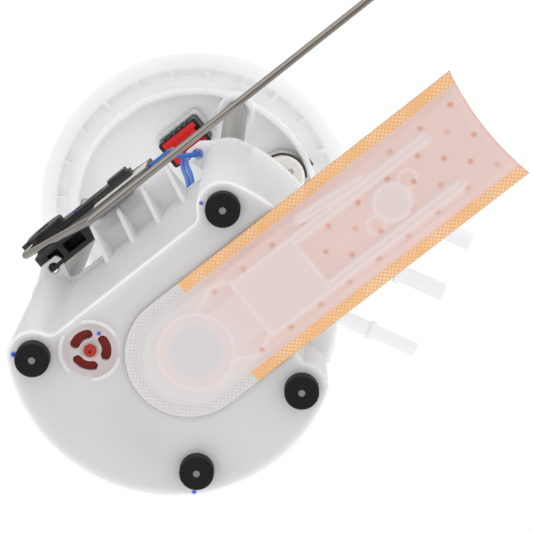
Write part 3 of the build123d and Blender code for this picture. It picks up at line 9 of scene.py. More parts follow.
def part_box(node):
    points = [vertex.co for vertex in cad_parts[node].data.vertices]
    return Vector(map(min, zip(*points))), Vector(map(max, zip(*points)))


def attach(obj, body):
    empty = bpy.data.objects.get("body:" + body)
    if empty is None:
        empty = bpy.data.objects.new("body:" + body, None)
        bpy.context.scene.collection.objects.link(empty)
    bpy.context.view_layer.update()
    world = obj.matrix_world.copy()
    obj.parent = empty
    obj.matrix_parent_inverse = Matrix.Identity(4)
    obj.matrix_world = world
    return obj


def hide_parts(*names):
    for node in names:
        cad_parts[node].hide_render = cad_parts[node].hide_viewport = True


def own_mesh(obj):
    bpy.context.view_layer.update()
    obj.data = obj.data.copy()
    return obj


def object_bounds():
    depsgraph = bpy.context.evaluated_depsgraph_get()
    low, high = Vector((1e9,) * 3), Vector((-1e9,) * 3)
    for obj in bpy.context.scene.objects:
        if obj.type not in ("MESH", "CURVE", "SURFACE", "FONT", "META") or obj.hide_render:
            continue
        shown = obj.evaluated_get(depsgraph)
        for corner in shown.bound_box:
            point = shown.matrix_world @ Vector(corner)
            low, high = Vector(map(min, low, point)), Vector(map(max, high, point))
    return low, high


# Looks of the fuel pump module. Blender works in metres; sizes here are millimetres times MM,
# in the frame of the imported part.

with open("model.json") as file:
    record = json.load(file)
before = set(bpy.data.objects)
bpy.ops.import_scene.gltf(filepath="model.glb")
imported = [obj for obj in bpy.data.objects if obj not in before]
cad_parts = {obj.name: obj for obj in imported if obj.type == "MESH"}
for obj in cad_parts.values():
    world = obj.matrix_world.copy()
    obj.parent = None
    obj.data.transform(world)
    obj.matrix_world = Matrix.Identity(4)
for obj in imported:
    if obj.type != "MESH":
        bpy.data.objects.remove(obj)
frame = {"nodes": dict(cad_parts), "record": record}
cad_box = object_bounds()
nodes = frame["nodes"]
scene = bpy.context.scene
MM = 0.001


def low(name):
    """Lowest corner of a node's box, in millimetres."""
    return np.array(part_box(name)[0]) / MM


def high(name):
    """Highest corner of a node's box, in millimetres."""
    return np.array(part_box(name)[1]) / MM


def centre(name):
    """Middle of a node's box, in millimetres."""
    return (low(name) + high(name)) / 2


cup_under = high("foot_left")[2]    # underside of the cup's floor, where the feet begin


# ---------------------------------------------------------------- camera
FOCAL_PIXELS = 2231.1
PICTURE_PIXELS = 533.0
SENSOR_WIDTH = 36.0
CAMERA_TURN = np.array([-0.21689, 0.00876, 0.01159])
CAMERA_SHIFT = np.array([-33.866, -25.066, 798.117])
AXES_BEFORE_TURN = np.array([[0.789, 0.614, 0.0], [0.614, -0.789, 0.0], [0.0, 0.0, 1.0]])


def rotation(vector):
    """Rotation matrix about a vector, by its length in radians."""
    angle = float(np.linalg.norm(vector))
    x, y, z = vector / angle
    cross = np.array([[0, -z, y], [z, 0, -x], [-y, x, 0]])
    return np.eye(3) + math.sin(angle) * cross + (1 - math.cos(angle)) * cross @ cross


def make_camera():
    """Camera under the module, looking up past the cup's floor."""
    data = bpy.data.cameras.new("camera")
    data.sensor_width = SENSOR_WIDTH
    data.lens = FOCAL_PIXELS / PICTURE_PIXELS * SENSOR_WIDTH
    data.clip_start, data.clip_end = 0.05, 20.0
    camera = bpy.data.objects.new("camera", data)
    scene.collection.objects.link(camera)
    scene.camera = camera
    axes = rotation(CAMERA_TURN) @ AXES_BEFORE_TURN
    axes[2] = np.cross(axes[1], axes[0])
    axes /= np.linalg.norm(axes, axis=1)[:, None]
    eye = -axes.T @ CAMERA_SHIFT + np.array([0, 0, cup_under])
    camera.matrix_world = Matrix(
        [[axes[0][i], axes[1][i], -axes[2][i], eye[i] * MM] for i in range(3)] + [[0, 0, 0, 1]])


make_camera()
scene.view_settings.view_transform = "Standard"


# ---------------------------------------------------------------- node trees
class Wiring:
    """Short ways to add nodes to a tree."""

    def __init__(self, tree):
        self.tree, self.nodes, self.links = tree, tree.nodes, tree.links

    def feed(self, socket, value):
        if isinstance(value, bpy.types.NodeSocket):
            self.links.new(value, socket)
        else:
            socket.default_value = value

    def math(self, operation, *values, clamp=False):
        node = self.nodes.new("ShaderNodeMath")
        node.operation = operation
        node.use_clamp = clamp
        for socket, value in zip(node.inputs, values):
            self.feed(socket, value)
        return node.outputs[0]

    def span(self, value, start, end, smooth=True, top=1.0, bottom=0.0):
        """Bottom at start and top at end."""
        node = self.nodes.new("ShaderNodeMapRange")
        node.interpolation_type = "SMOOTHSTEP" if smooth else "LINEAR"
        self.feed(node.inputs["Value"], value)
        node.inputs["From Min"].default_value = start
        node.inputs["From Max"].default_value = end
        node.inputs["To Min"].default_value = bottom
        node.inputs["To Max"].default_value = top
        return node.outputs["Result"]

    def mix(self, factor, first, second):
        """Mixes two colours, given as tuples or sockets."""
        node = self.nodes.new("ShaderNodeMix")
        node.data_type = "RGBA"
        self.feed(node.inputs["Factor"], factor)
        for key, value in (("A", first), ("B", second)):
            self.feed(node.inputs[key], (*value, 1) if isinstance(value, tuple) else value)
        return node.outputs["Result"]

    def ramp(self, value, stops):
        """Greys, given as (position, grey), blended along a value from 0 to 1."""
        node = self.nodes.new("ShaderNodeValToRGB")
        elements = node.color_ramp.elements
        for element, (position, grey) in zip((elements[0], elements[1]), (stops[0], stops[-1])):
            element.position = position
            element.color = (grey, grey, grey, 1)
        for position, grey in stops[1:-1]:
            elements.new(position).color = (grey, grey, grey, 1)
        self.feed(node.inputs[0], value)
        return node.outputs["Color"]


# ---------------------------------------------------------------- light and backdrop
SIDE_LIGHT = (0.75, 0.66)      # the brightest side, as a direction in plan
SIDE_BOOST = 0.22              # how much stronger the light is from there
# light by height, from straight below to straight above
LIGHT_STOPS = [(0.0, 0.88), (0.25, 1.02), (0.42, 1.24), (0.52, 1.04), (0.65, 0.79), (1.0, 0.66)]
# what gloss mirrors round the X axis, from above past one side, below and the other side to above again
GLOSS_STOPS = [(0.0, 0.6), (0.144, 0.42), (0.26, 0.75), (0.333, 1.0), (0.40, 0.92), (0.47, 0.42),
               (0.532, 0.20), (0.577, 0.24), (0.667, 0.48), (0.856, 0.72), (1.0, 0.6)]


def make_world():
    """White backdrop; soft light from all round, brighter from one side; streaks for glossy metal."""
    world = bpy.data.worlds.new("studio")
    scene.world = world
    world.use_nodes = True
    world.node_tree.nodes.clear()
    w = Wiring(world.node_tree)
    split = w.nodes.new("ShaderNodeSeparateXYZ")
    w.feed(split.inputs[0], w.nodes.new("ShaderNodeTexCoord").outputs["Generated"])
    x, y, z = split.outputs
    side = w.math("ADD", w.math("MULTIPLY", x, SIDE_LIGHT[0]), w.math("MULTIPLY", y, SIDE_LIGHT[1]))
    lit = w.math("ADD", 1.0, w.span(side, 0.0, 0.95, top=SIDE_BOOST))
    round_x = w.math("ARCTAN2", y, w.math("MULTIPLY", z, -1.0))
    backgrounds = []
    for color, strength in ((w.ramp(w.math("MULTIPLY_ADD", z, 0.5, 0.5), LIGHT_STOPS), lit),
                            (w.ramp(w.math("MULTIPLY_ADD", round_x, 0.5 / math.pi, 0.5), GLOSS_STOPS), 1.0),
                            ((1, 1, 1, 1), 1.0)):
        background = w.nodes.new("ShaderNodeBackground")
        w.feed(background.inputs["Color"], color)
        w.feed(background.inputs["Strength"], strength)
        backgrounds.append(background.outputs[0])
    path = w.nodes.new("ShaderNodeLightPath").outputs
    shader = backgrounds[0]
    seen = w.math("ADD", path["Is Camera Ray"], path["Is Transmission Ray"], clamp=True)
    for factor, background in ((path["Is Glossy Ray"], backgrounds[1]), (seen, backgrounds[2])):
        mixer = w.nodes.new("ShaderNodeMixShader")
        for socket, value in zip(mixer.inputs, (factor, shader, background)):
            w.feed(socket, value)
        shader = mixer.outputs[0]
    w.feed(w.nodes.new("ShaderNodeOutputWorld").inputs[0], shader)


def lamp(name, place, target, size, power):
    """Round soft lamp, with its place and target in millimetres."""
    data = bpy.data.lights.new(name, "AREA")
    data.shape = "DISK"
    data.size = size * MM
    data.energy = power
    light = bpy.data.objects.new(name, data)
    scene.collection.objects.link(light)
    light.location = Vector(place) * MM
    light.rotation_mode = "QUATERNION"
    light.rotation_quaternion = (Vector(target) - Vector(place)).to_track_quat("-Z", "Y")


make_world()
lamp("low_left", (-550, 350, -780), (30, 0, -200), 500, 0.5)
lamp("high_front", (300, -800, 700), (30, 0, -120), 700, 1.2)


# ---------------------------------------------------------------- materials
TRANSLUCENCE = 0.8             # share of the light that goes under a translucent surface


class Surface(Wiring):
    """Procedural material: colour that varies a little, uneven gloss and fine relief."""

    def __init__(self, name, color, rough=0.5, metal=0.0, vary=0.05, vary_scale=90.0, bump=0.05, grain=900.0,
                 stretch=(1, 1, 1), gloss_vary=0.12, specular=0.5, depth=0.4, glow=0.0):
        self.material = bpy.data.materials.new(name)
        self.material.use_nodes = True
        super().__init__(self.material.node_tree)
        self.shader = self.nodes["Principled BSDF"]
        self.shader.inputs["Metallic"].default_value = metal
        self.shader.inputs["Specular IOR Level"].default_value = specular
        if glow:
            self.shader.inputs["Subsurface Weight"].default_value = TRANSLUCENCE
            self.shader.inputs["Subsurface Radius"].default_value = (1.0, 1.0, 1.0)
            self.shader.inputs["Subsurface Scale"].default_value = glow * MM
        place = self.nodes.new("ShaderNodeTexCoord").outputs["Object"]
        mapping = self.nodes.new("ShaderNodeMapping")
        mapping.inputs["Scale"].default_value = stretch
        self.feed(mapping.inputs["Vector"], place)
        self.stretched = mapping.outputs["Vector"]
        split = self.nodes.new("ShaderNodeSeparateXYZ")
        self.feed(split.inputs[0], place)
        self.x, self.y, self.z = split.outputs
        dark = tuple(max(0.0, c * (1 - vary)) for c in color)
        light = tuple(min(1.0, c * (1 + vary)) for c in color)
        self.color = self.mix(self.noise(vary_scale), dark, light)
        self.feed(self.shader.inputs["Base Color"], self.color)
        gloss = self.span(self.noise(vary_scale * 2.3), 0.0, 1.0, smooth=False,
                          bottom=max(0.02, rough - gloss_vary / 2), top=min(1.0, rough + gloss_vary / 2))
        self.feed(self.shader.inputs["Roughness"], gloss)
        self.normal = None
        self.relief(self.noise(grain), bump, depth)

    def noise(self, scale):
        """Cloudy pattern from 0 to 1, in the piece's own space."""
        texture = self.nodes.new("ShaderNodeTexNoise")
        texture.inputs["Scale"].default_value = scale
        texture.inputs["Detail"].default_value = 4.0
        self.feed(texture.inputs["Vector"], self.stretched)
        return texture.outputs["Fac"]

    def lay(self, factor, color):
        """Lays another colour over the base where factor is 1."""
        self.color = self.mix(factor, self.color, color)
        self.feed(self.shader.inputs["Base Color"], self.color)

    def relief(self, height, strength, depth):
        """Adds relief on top of what is there; depth in millimetres."""
        node = self.nodes.new("ShaderNodeBump")
        node.inputs["Strength"].default_value = strength
        node.inputs["Distance"].default_value = depth * MM
        self.feed(node.inputs["Height"], height)
        if self.normal is not None:
            self.feed(node.inputs["Normal"], self.normal)
        self.normal = node.outputs["Normal"]
        self.feed(self.shader.inputs["Normal"], self.normal)

    def attribute(self, name):
        """Value stored at the mesh's points."""
        node = self.nodes.new("ShaderNodeAttribute")
        node.attribute_name = name
        return node.outputs["Fac"]

    def below(self, height, soft=0.05):
        """1 below a height in millimetres."""
        return self.span(self.z, (height + soft) * MM, (height - soft) * MM, smooth=False)

    def away(self, place):
        """Distance in plan from a vertical line, in metres."""
        over_x = self.math("SUBTRACT", self.x, place[0] * MM)
        over_y = self.math("SUBTRACT", self.y, place[1] * MM)
        return self.math("SQRT", self.math("MULTIPLY_ADD", over_x, over_x,
                                           self.math("MULTIPLY", over_y, over_y)))

    def near(self, place, radius, soft):
        """1 within a radius of a vertical line, in plan."""
        return self.span(self.away(place), (radius + soft) * MM, (radius - soft) * MM)

    def painted_edge_highlight(self, color, amount):
        """Painted highlight: convex edges painted lighter, by pointiness."""
        edges = self.nodes.new("ShaderNodeNewGeometry").outputs["Pointiness"]
        self.lay(self.span(edges, 0.52, 0.62, top=amount), color)


white_nylon = Surface("white_nylon", (0.955, 0.955, 0.97), rough=0.42, vary=0.01, bump=0.06, grain=700,
                      glow=8.0)
pipe_nylon = Surface("pipe_nylon", (0.89, 0.89, 0.905), rough=0.45, vary=0.01, bump=0.05, grain=600,
                     specular=0.3)
vent_nylon = Surface("vent_nylon", (0.84, 0.81, 0.76), rough=0.5, vary=0.03, bump=0.06, grain=700, glow=3.0)
violet_dot = Surface("violet_dot", (0.05, 0.03, 0.50), rough=0.35, vary=0.2, bump=0.05, grain=900)
dark_steel = Surface("dark_steel", (0.13, 0.12, 0.11), rough=0.38, metal=1.0, vary=0.2, vary_scale=260,
                     bump=0.1, grain=1500, depth=0.1)
cup_plastic = Surface("cup_plastic", (0.90, 0.90, 0.91), rough=0.36, vary=0.012, vary_scale=30, bump=0.04,
                      grain=420, glow=12.0)
clear_white = Surface("clear_white", (0.88, 0.88, 0.90), rough=0.3, vary=0.03, bump=0.05, grain=600)
black_plastic = Surface("black_plastic", (0.020, 0.020, 0.022), rough=0.42, vary=0.25, bump=0.25, grain=1500)
black_rubber = Surface("black_rubber", (0.007, 0.0065, 0.006), rough=0.62, vary=0.3, vary_scale=500,
                       bump=0.5, grain=2600, specular=0.3)
red_rubber = Surface("red_rubber", (0.20, 0.021, 0.014), rough=0.6, vary=0.12, vary_scale=400, bump=0.2,
                     grain=1800, specular=0.2)
red_plastic = Surface("red_plastic", (0.80, 0.018, 0.014), rough=0.38, vary=0.06, bump=0.08, grain=900)
arm_steel = Surface("arm_steel", (0.43, 0.40, 0.36), rough=0.16, metal=1.0, vary=0.16, vary_scale=260,
                    stretch=(0.12, 1, 1), bump=0.10, grain=1800, gloss_vary=0.08, depth=0.1)
steel = Surface("steel", (0.52, 0.51, 0.49), rough=0.28, metal=1.0, vary=0.15, vary_scale=260, bump=0.10,
                grain=1800, gloss_vary=0.2, depth=0.1)
rod_steel = Surface("rod_steel", (0.36, 0.35, 0.32), rough=0.42, metal=1.0, vary=0.14, vary_scale=260,
                    stretch=(1, 1, 0.08), bump=0.1, grain=1800, gloss_vary=0.2, depth=0.1)
zinc_steel = Surface("zinc_steel", (0.62, 0.62, 0.60), rough=0.36, metal=1.0, vary=0.16, vary_scale=160,
                     bump=0.1, grain=700, gloss_vary=0.25, depth=0.1)
brass = Surface("brass", (0.70, 0.50, 0.22), rough=0.3, metal=1.0, vary=0.15, vary_scale=300, bump=0.1,
                grain=1500, depth=0.1)
plug_plastic = Surface("plug_plastic", (0.020, 0.020, 0.022), rough=0.42, vary=0.25, bump=0.25, grain=1500)
ceramic = Surface("ceramic", (0.70, 0.70, 0.63), rough=0.55, vary=0.06, bump=0.1, grain=1600)
ferrite = Surface("ferrite", (0.055, 0.055, 0.06), rough=0.7, vary=0.3, bump=0.3, grain=1500)
copper_core = Surface("copper_core", (0.36, 0.15, 0.07), rough=0.4, metal=0.6, vary=0.3, vary_scale=400,
                      stretch=(1, 1, 0.1), bump=0.3, grain=900)
foam = Surface("foam", (0.035, 0.035, 0.037), rough=0.85, vary=0.35, vary_scale=900, bump=0.3, grain=2000,
               specular=0.25)
hose_plastic = Surface("hose_plastic", (0.80, 0.80, 0.78), rough=0.35, vary=0.05, bump=0.08, grain=900)
blue_insulation = Surface("blue_insulation", (0.025, 0.16, 0.58), rough=0.4, vary=0.12, vary_scale=300,
                          bump=0.1, grain=1500)
grey_insulation = Surface("grey_insulation", (0.06, 0.06, 0.065), rough=0.45, vary=0.2, vary_scale=300,
                          bump=0.1, grain=1500)
# painted highlight along the black plastic's convex edges
black_plastic.painted_edge_highlight((0.09, 0.09, 0.095), 0.4)

FLOOR_SKIN = 0.06              # the floor's painted shade reaches this far above its underside
LOCK_FRAME = (1.3, 2.6)        # the plug's red frame goes this far beyond the lock
FLAT_WALL = -24.0              # the flat side and its ribs lie beyond this Y
SHADED_FROM, SHADED_TO = 10.0, 80.0    # painted shade on the flat side deepens between these heights over the floor
# blue inspection dots under the cup: place in plan and radius
PAINT_SPOTS = [((-19.7, -17.1), 0.8), ((-48.6, -30.2), 1.0), ((-30.4, 50.2), 0.9), ((38.8, -31.2), 0.7)]


def paint_cup():
    """The floor is painted greyer than the walls as painted shade, with a painted highlight along its edge,
    and stained round the valve; the flat side and what stands below the floor are painted darker as painted
    shade.
    """
    c, valve = cup_plastic, centre("umbrella_valve")
    # painted shade: the flat side painted darker upward, towards the sender above it
    wall = c.span(c.y, FLAT_WALL * MM, (FLAT_WALL - 1.0) * MM)
    shaded = c.span(c.z, (cup_under + SHADED_FROM) * MM, (cup_under + SHADED_TO) * MM, bottom=0.1, top=0.6)
    c.lay(c.math("MULTIPLY", wall, shaded), (0.64, 0.63, 0.64))
    floor_part = c.below(cup_under + FLOOR_SKIN)
    # painted highlight: a whiter band along the floor's rounded edge, up to 2.6 mm above its underside
    c.lay(c.below(cup_under + 2.6, soft=0.5), (0.93, 0.93, 0.97))
    # painted shade: the floor, which faces the weaker light from below, painted greyer than the walls
    c.lay(floor_part, (0.72, 0.695, 0.70))
    c.lay(c.math("MULTIPLY", c.near(valve, 9.8, 0.8), floor_part), (0.64, 0.55, 0.55))
    for place, radius in PAINT_SPOTS:
        c.lay(c.math("MULTIPLY", c.near(place, radius, 0.5), c.below(cup_under + 2.0)), (0.03, 0.09, 0.62))
    # painted shade: what stands below the floor painted greyer, and dark grey further down
    c.lay(c.below(cup_under - 0.3), (0.80, 0.78, 0.79))
    c.lay(c.below(cup_under - 2.5), (0.33, 0.33, 0.32))


def paint_valve():
    """Lit and shaded copies of one rubber: the dome seen through the ports keeps a dark tone as painted
    shade, the knob below the floor is painted brighter as painted light.
    """
    # painted light: the knob below the floor painted brighter than the dome inside the cup
    red_rubber.lay(red_rubber.below(cup_under + 0.4), (0.42, 0.035, 0.022))


def paint_plug():
    """The lock's red frame round the mouth of the black plug."""
    p, middle = plug_plastic, centre("plug_lock")
    half = (high("plug_lock") - low("plug_lock"))[:2] / 2 + LOCK_FRAME
    framed = p.below(high("plug_lock")[2])
    for axis, place, reach in zip((p.x, p.y), middle, half):
        off = p.math("ABSOLUTE", p.math("SUBTRACT", axis, place * MM))
        framed = p.math("MULTIPLY", framed, p.span(off, (reach + 0.1) * MM, (reach - 0.1) * MM))
    p.lay(framed, (0.78, 0.018, 0.014))


def paint_foam():
    """Closed cells."""
    cells = foam.nodes.new("ShaderNodeTexVoronoi")
    cells.inputs["Scale"].default_value = 1400
    foam.feed(cells.inputs["Vector"], foam.stretched)
    foam.relief(cells.outputs["Distance"], 0.35, 0.2)


paint_cup()
paint_valve()
paint_plug()
paint_foam()

slots = {
    "white_nylon": white_nylon, "cup_plastic": cup_plastic, "black_plastic": black_plastic,
    "black_rubber": black_rubber, "red_rubber": red_rubber, "red_plastic": red_plastic, "steel": steel,
    "zinc_steel": zinc_steel, "brass": brass, "ceramic": ceramic, "ferrite": ferrite,
    "copper_core": copper_core, "float_foam": foam, "hose": hose_plastic, "sock_frame": clear_white,
    "blue_insulation": blue_insulation, "grey_insulation": grey_insulation,
}
own_surface = {
    "guide_rod_left": rod_steel, "guide_rod_right": rod_steel, "float_arm": arm_steel,
    "pump_wires": blue_insulation, "vent_valve_body": vent_nylon, "harness_plug": plug_plastic,
    "supply_pipe": pipe_nylon, "return_pipe": pipe_nylon, "vent_port": pipe_nylon,
}
slot_of = {row["node"]: row["material_slot"] for row in frame["record"]["subparts"]}
for name, node in nodes.items():
    surface = own_surface.get(name, slots.get(slot_of[name], clear_white))
    node.data.materials.clear()
    node.data.materials.append(surface.material)


# ---------------------------------------------------------------- mesh pieces
def mesh_piece(name, points, faces, surface, smooth=True):
    """Mesh object from points in millimetres."""
    mesh = bpy.data.meshes.new(name)
    mesh.from_pydata([tuple(point) for point in np.array(points) * MM], [], [tuple(face) for face in faces])
    mesh.update()
    mesh.polygons.foreach_set("use_smooth", [smooth] * len(mesh.polygons))
    piece = bpy.data.objects.new(name, mesh)
    scene.collection.objects.link(piece)
    piece.data.materials.append(surface.material)
    return piece


def smoothstep(value):
    """From 0 to 1 with soft ends."""
    value = np.clip(value, 0, 1)
    return value * value * (3 - 2 * value)


def tube(name, line, radii, surface, sides=16):
    """Closed round tube of varying radius along a line, turned without twist."""
    line = np.array(line, float)
    radii = np.broadcast_to(np.array(radii, float), (len(line),))
    along = np.gradient(line, axis=0)
    along /= np.linalg.norm(along, axis=1)[:, None]
    side = np.cross(along[0], [0.3, 0.9, 0.1])
    angles = np.linspace(0, 2 * math.pi, sides, endpoint=False)
    points = []
    for middle, direction, radius in zip(line, along, radii):
        side = side - direction * (side @ direction)
        side /= np.linalg.norm(side)
        other = np.cross(direction, side)
        points.extend(middle + radius * (np.cos(angles)[:, None] * side + np.sin(angles)[:, None] * other))
    faces = []
    for i in range(len(line) - 1):
        for j in range(sides):
            a, b = i * sides + j, i * sides + (j + 1) % sides
            faces.append((a, b, b + sides, a + sides))
    last = (len(line) - 1) * sides
    faces += [tuple(reversed(range(sides))), tuple(range(last, last + sides))]
    return mesh_piece(name, points, faces, surface)


def shorten(piece):
    """Gives a piece its own copy of its mesh."""
    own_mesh(piece)


# ---------------------------------------------------------------- strainer: two welded layers of mesh
WELD = 4.4                     # width of the welded border
WELD_HALF = 0.12               # half its thickness
WELD_DROP = 0.45               # its middle below the top of the sock
SIDE_RISE, END_RISE = 3.0, 3.5    # the cloth swells over these widths beside the weld and the far end
FULL, LOOSE, UNEVEN = 0.93, 0.66, 0.11    # swell on the frame and off it, as shares of the depth
RIDGE_LIFT, DIMPLE = 0.045, 0.22    # what a ridge adds and a spot weld takes
RIDGE_WIDTH = 0.6
SPOT_SPREAD, SPOT_RADIUS = 1.2, 1.35    # dimple and tint of a spot weld
INLET_RADIUS = 7.0             # opening in the upper layer, round the pump's inlet
GRID = 0.42                    # spacing of the cloth's points
END_SAG = 2.5                  # hollow of the far end
ORANGE_FROM = 14.0             # the orange backing starts here, along X
WHITE_TO, PINK_FROM = 4.0, 34.0    # the cloth turns from white to pink between these, along X
DIAMOND_LENGTH, DIAMOND_WIDTH = 1.9, 1.75    # pattern pressed into the weld
THREAD_PITCH = 0.55
SPOT_PITCH_X, SPOT_PITCH_Y = 6.63, 6.72
SPOT_START_X, SPOT_START_Y = 16.2, -10.4
SPOT_LEAN = -0.010             # the rows of spots run a little out of line with the edges
SPOT_ROWS = 6
# what is inside the sock, as the solid frame has it
DISC_RADIUS = 13.7
BOX = (29.3, 56.0, -2.4, 21.0)
BRIDGE = (14.0, 31.0, 1.5, 16.5)
RIBS = [((57.0, -1.15), (114.6, -1.15)), ((57.0, 19.75), (114.6, 19.75)), ((62.0, -6.1), (88.8, -3.1))]
RIB_HALF = 1.25
BUTTON, BUTTON_RADIUS = (92.0, 9.7), 6.5

sock_low, sock_high = low("strainer_sock"), high("strainer_sock")
sock_half = (sock_high[1] - sock_low[1]) / 2
sock_middle = (sock_high[1] + sock_low[1]) / 2
sock_round = sock_low[0] + sock_half
sock_reach = sock_high[0] - sock_low[0]
pump = centre("pump_shell")[:2]


def segment_distance(x, y, start, end):
    """Distance to a straight line between two places."""
    (ax, ay), (bx, by) = start, end
    t = np.clip(((x - ax) * (bx - ax) + (y - ay) * (by - ay)) / ((bx - ax) ** 2 + (by - ay) ** 2), 0, 1)
    return np.hypot(x - ax - t * (bx - ax), y - ay - t * (by - ay))


def box_distance(x, y, box):
    """Distance to a rectangle, negative inside."""
    x0, x1, y0, y1 = box
    dx, dy = np.maximum(x0 - x, x - x1), np.maximum(y0 - y, y - y1)
    return np.where((dx > 0) & (dy > 0), np.hypot(dx, dy), np.maximum(dx, dy))


def round_distance(x, y, place, radius):
    """Distance to a circle, negative inside."""
    return np.hypot(x - place[0], y - place[1]) - radius


def members(x, y):
    """Distance to the parts of the frame that press against the cloth, negative on them."""
    shapes = [round_distance(x, y, pump, DISC_RADIUS), box_distance(x, y, BOX), box_distance(x, y, BRIDGE),
              round_distance(x, y, BUTTON, BUTTON_RADIUS)]
    shapes += [segment_distance(x, y, start, end) - RIB_HALF for start, end in RIBS]
    return np.minimum.reduce(shapes)


def ridges(x, y):
    """Distance to the raised lines that show through the cloth."""
    lines = [np.abs(round_distance(x, y, pump, DISC_RADIUS)), np.abs(box_distance(x, y, BOX)),
             np.abs(round_distance(x, y, BUTTON, BUTTON_RADIUS))]
    # two wavy creases between the disc and the box
    upper = y - (-2.8 - 3.2 * np.sin((x - 16) / 5.2) * np.exp(-((x - 21) / 8) ** 2))
    lower = y - (20.4 + 3.4 * np.sin((x - 14) / 4.6) * np.exp(-((x - 21) / 7) ** 2))
    far = 9.0
    lines += [np.where((x > 12) & (x < 31), np.abs(wave) * 0.75, far) for wave in (upper, lower)]
    lines += [segment_distance(x, y, (ax, ay + side), (bx, by + side))
              for (ax, ay), (bx, by) in RIBS for side in (-RIB_HALF, RIB_HALF)]
    # curled tails of the button
    for tail in (-1, 1):
        curl = np.abs(round_distance(x, y, (BUTTON[0] + 9.3 * tail, BUTTON[1] - 3.1 * tail), 3.3))
        lines.append(np.where((x - BUTTON[0]) * tail > 5.5, curl, far))
    return np.minimum.reduce(lines)


def spots(x, y):
    """Distance to the nearest spot weld of the staggered lattice."""
    nearest = np.full(np.shape(x), 99.0)
    for row in range(SPOT_ROWS):
        row_y = SPOT_START_Y + SPOT_PITCH_Y * row + SPOT_LEAN * (x - SPOT_START_X)
        start = SPOT_START_X + (row % 2) * SPOT_PITCH_X
        nearest_x = np.round((x - start) / (2 * SPOT_PITCH_X)) * 2 * SPOT_PITCH_X + start
        nearest = np.minimum(nearest, np.hypot(x - nearest_x, y - row_y))
    return nearest


def wrinkles(x, y):
    """Slow unevenness of loose cloth, from -1 to 1."""
    rng = np.random.default_rng(7)
    total, waves = np.zeros(np.shape(x)), 14
    for _ in range(waves):
        pitch, direction, phase = rng.uniform(0.08, 0.7), *rng.uniform(0, 2 * math.pi, 2)
        total += np.sin((x * math.cos(direction) + y * math.sin(direction)) * pitch + phase) / waves
    return total


def sock_grid():
    """Points of the cloth in plan, from the round end to the hollow far end, and that end's X."""
    columns, rows = int(sock_reach / GRID), int(2 * sock_half / GRID)
    t = np.linspace(0, 1, columns + 1)
    # closer together at the round end
    near_end, share = 0.12, 0.075
    spread = share + (t - near_end) / (1 - near_end) * (1 - share)
    t = np.where(t < near_end, (t / near_end) ** 2 * share, spread)
    x, v = np.meshgrid(sock_low[0] + sock_reach * t, np.linspace(-1, 1, rows + 1), indexing="ij")
    round_half = np.sqrt(np.maximum(0.0, sock_half ** 2 - (x - sock_round) ** 2))
    y = sock_middle + v * np.where(x < sock_round, round_half, sock_half)
    end_x = sock_high[0] - END_SAG * (1 - v ** 2)
    fade = 40.0
    x = x - (sock_high[0] - end_x) * smoothstep((x - sock_high[0] + fade) / fade)
    return x, y, end_x


def sock_surface():
    """Pinkish cloth, white at the round end, with an orange backing along the weld."""
    s = Surface("sock_mesh", (0.735, 0.552, 0.517), rough=0.7, vary=0.035, vary_scale=38, bump=0.0,
                grain=3000, specular=0.2)
    s.lay(s.span(s.x, PINK_FROM * MM, WHITE_TO * MM), (0.675, 0.65, 0.64))
    s.lay(s.math("MULTIPLY", s.attribute("on_frame"), 0.7), (0.71, 0.61, 0.60))
    s.lay(s.math("MULTIPLY", s.near(pump, 9.6, 1.6), 0.8), (0.625, 0.60, 0.625))
    s.lay(s.math("MULTIPLY", s.attribute("ridge"), 0.40), (0.82, 0.72, 0.70))
    backed = s.span(s.x, (ORANGE_FROM - 0.2) * MM, (ORANGE_FROM + 0.2) * MM)
    # diamonds pressed into the weld
    along = s.math("SINE", s.math("MULTIPLY", s.x, 2 * math.pi / (DIAMOND_LENGTH * MM)))
    across = s.math("SINE", s.math("MULTIPLY", s.y, 2 * math.pi / (DIAMOND_WIDTH * MM)))
    cell = s.span(s.math("MULTIPLY", along, across), -0.15, 0.55)
    faded = s.span(s.noise(60.0), 0.36, 0.60, bottom=1.0, top=0.35)
    orange = s.mix(s.math("MULTIPLY", cell, faded), (0.85, 0.46, 0.19), (0.90, 0.72, 0.57))
    pale = s.mix(cell, (0.62, 0.60, 0.59), (0.72, 0.71, 0.70))
    s.lay(s.attribute("weld"), s.mix(backed, pale, orange))
    white_rim = s.math("SUBTRACT", s.attribute("rim"), backed, clamp=True)
    s.lay(s.math("MULTIPLY", white_rim, 0.6), (0.78, 0.77, 0.755))
    strong = s.span(s.noise(110.0), 0.35, 0.65, bottom=0.35, top=0.95)
    strong = s.math("MULTIPLY", strong, s.span(backed, 0.0, 1.0, bottom=0.3))
    s.lay(s.math("MULTIPLY", s.attribute("spot"), strong), (0.71, 0.36, 0.245))
    s.lay(s.math("MULTIPLY", s.attribute("lip"), 0.7), (0.80, 0.43, 0.36))
    weave = 2 * math.pi / (THREAD_PITCH * MM)
    threads = s.math("ADD", s.math("SINE", s.math("MULTIPLY", s.x, weave)),
                     s.math("SINE", s.math("MULTIPLY", s.y, weave)))
    s.relief(threads, 0.10, 0.08)
    s.relief(s.math("MULTIPLY", cell, s.attribute("weld")), 0.5, 0.25)
    return s


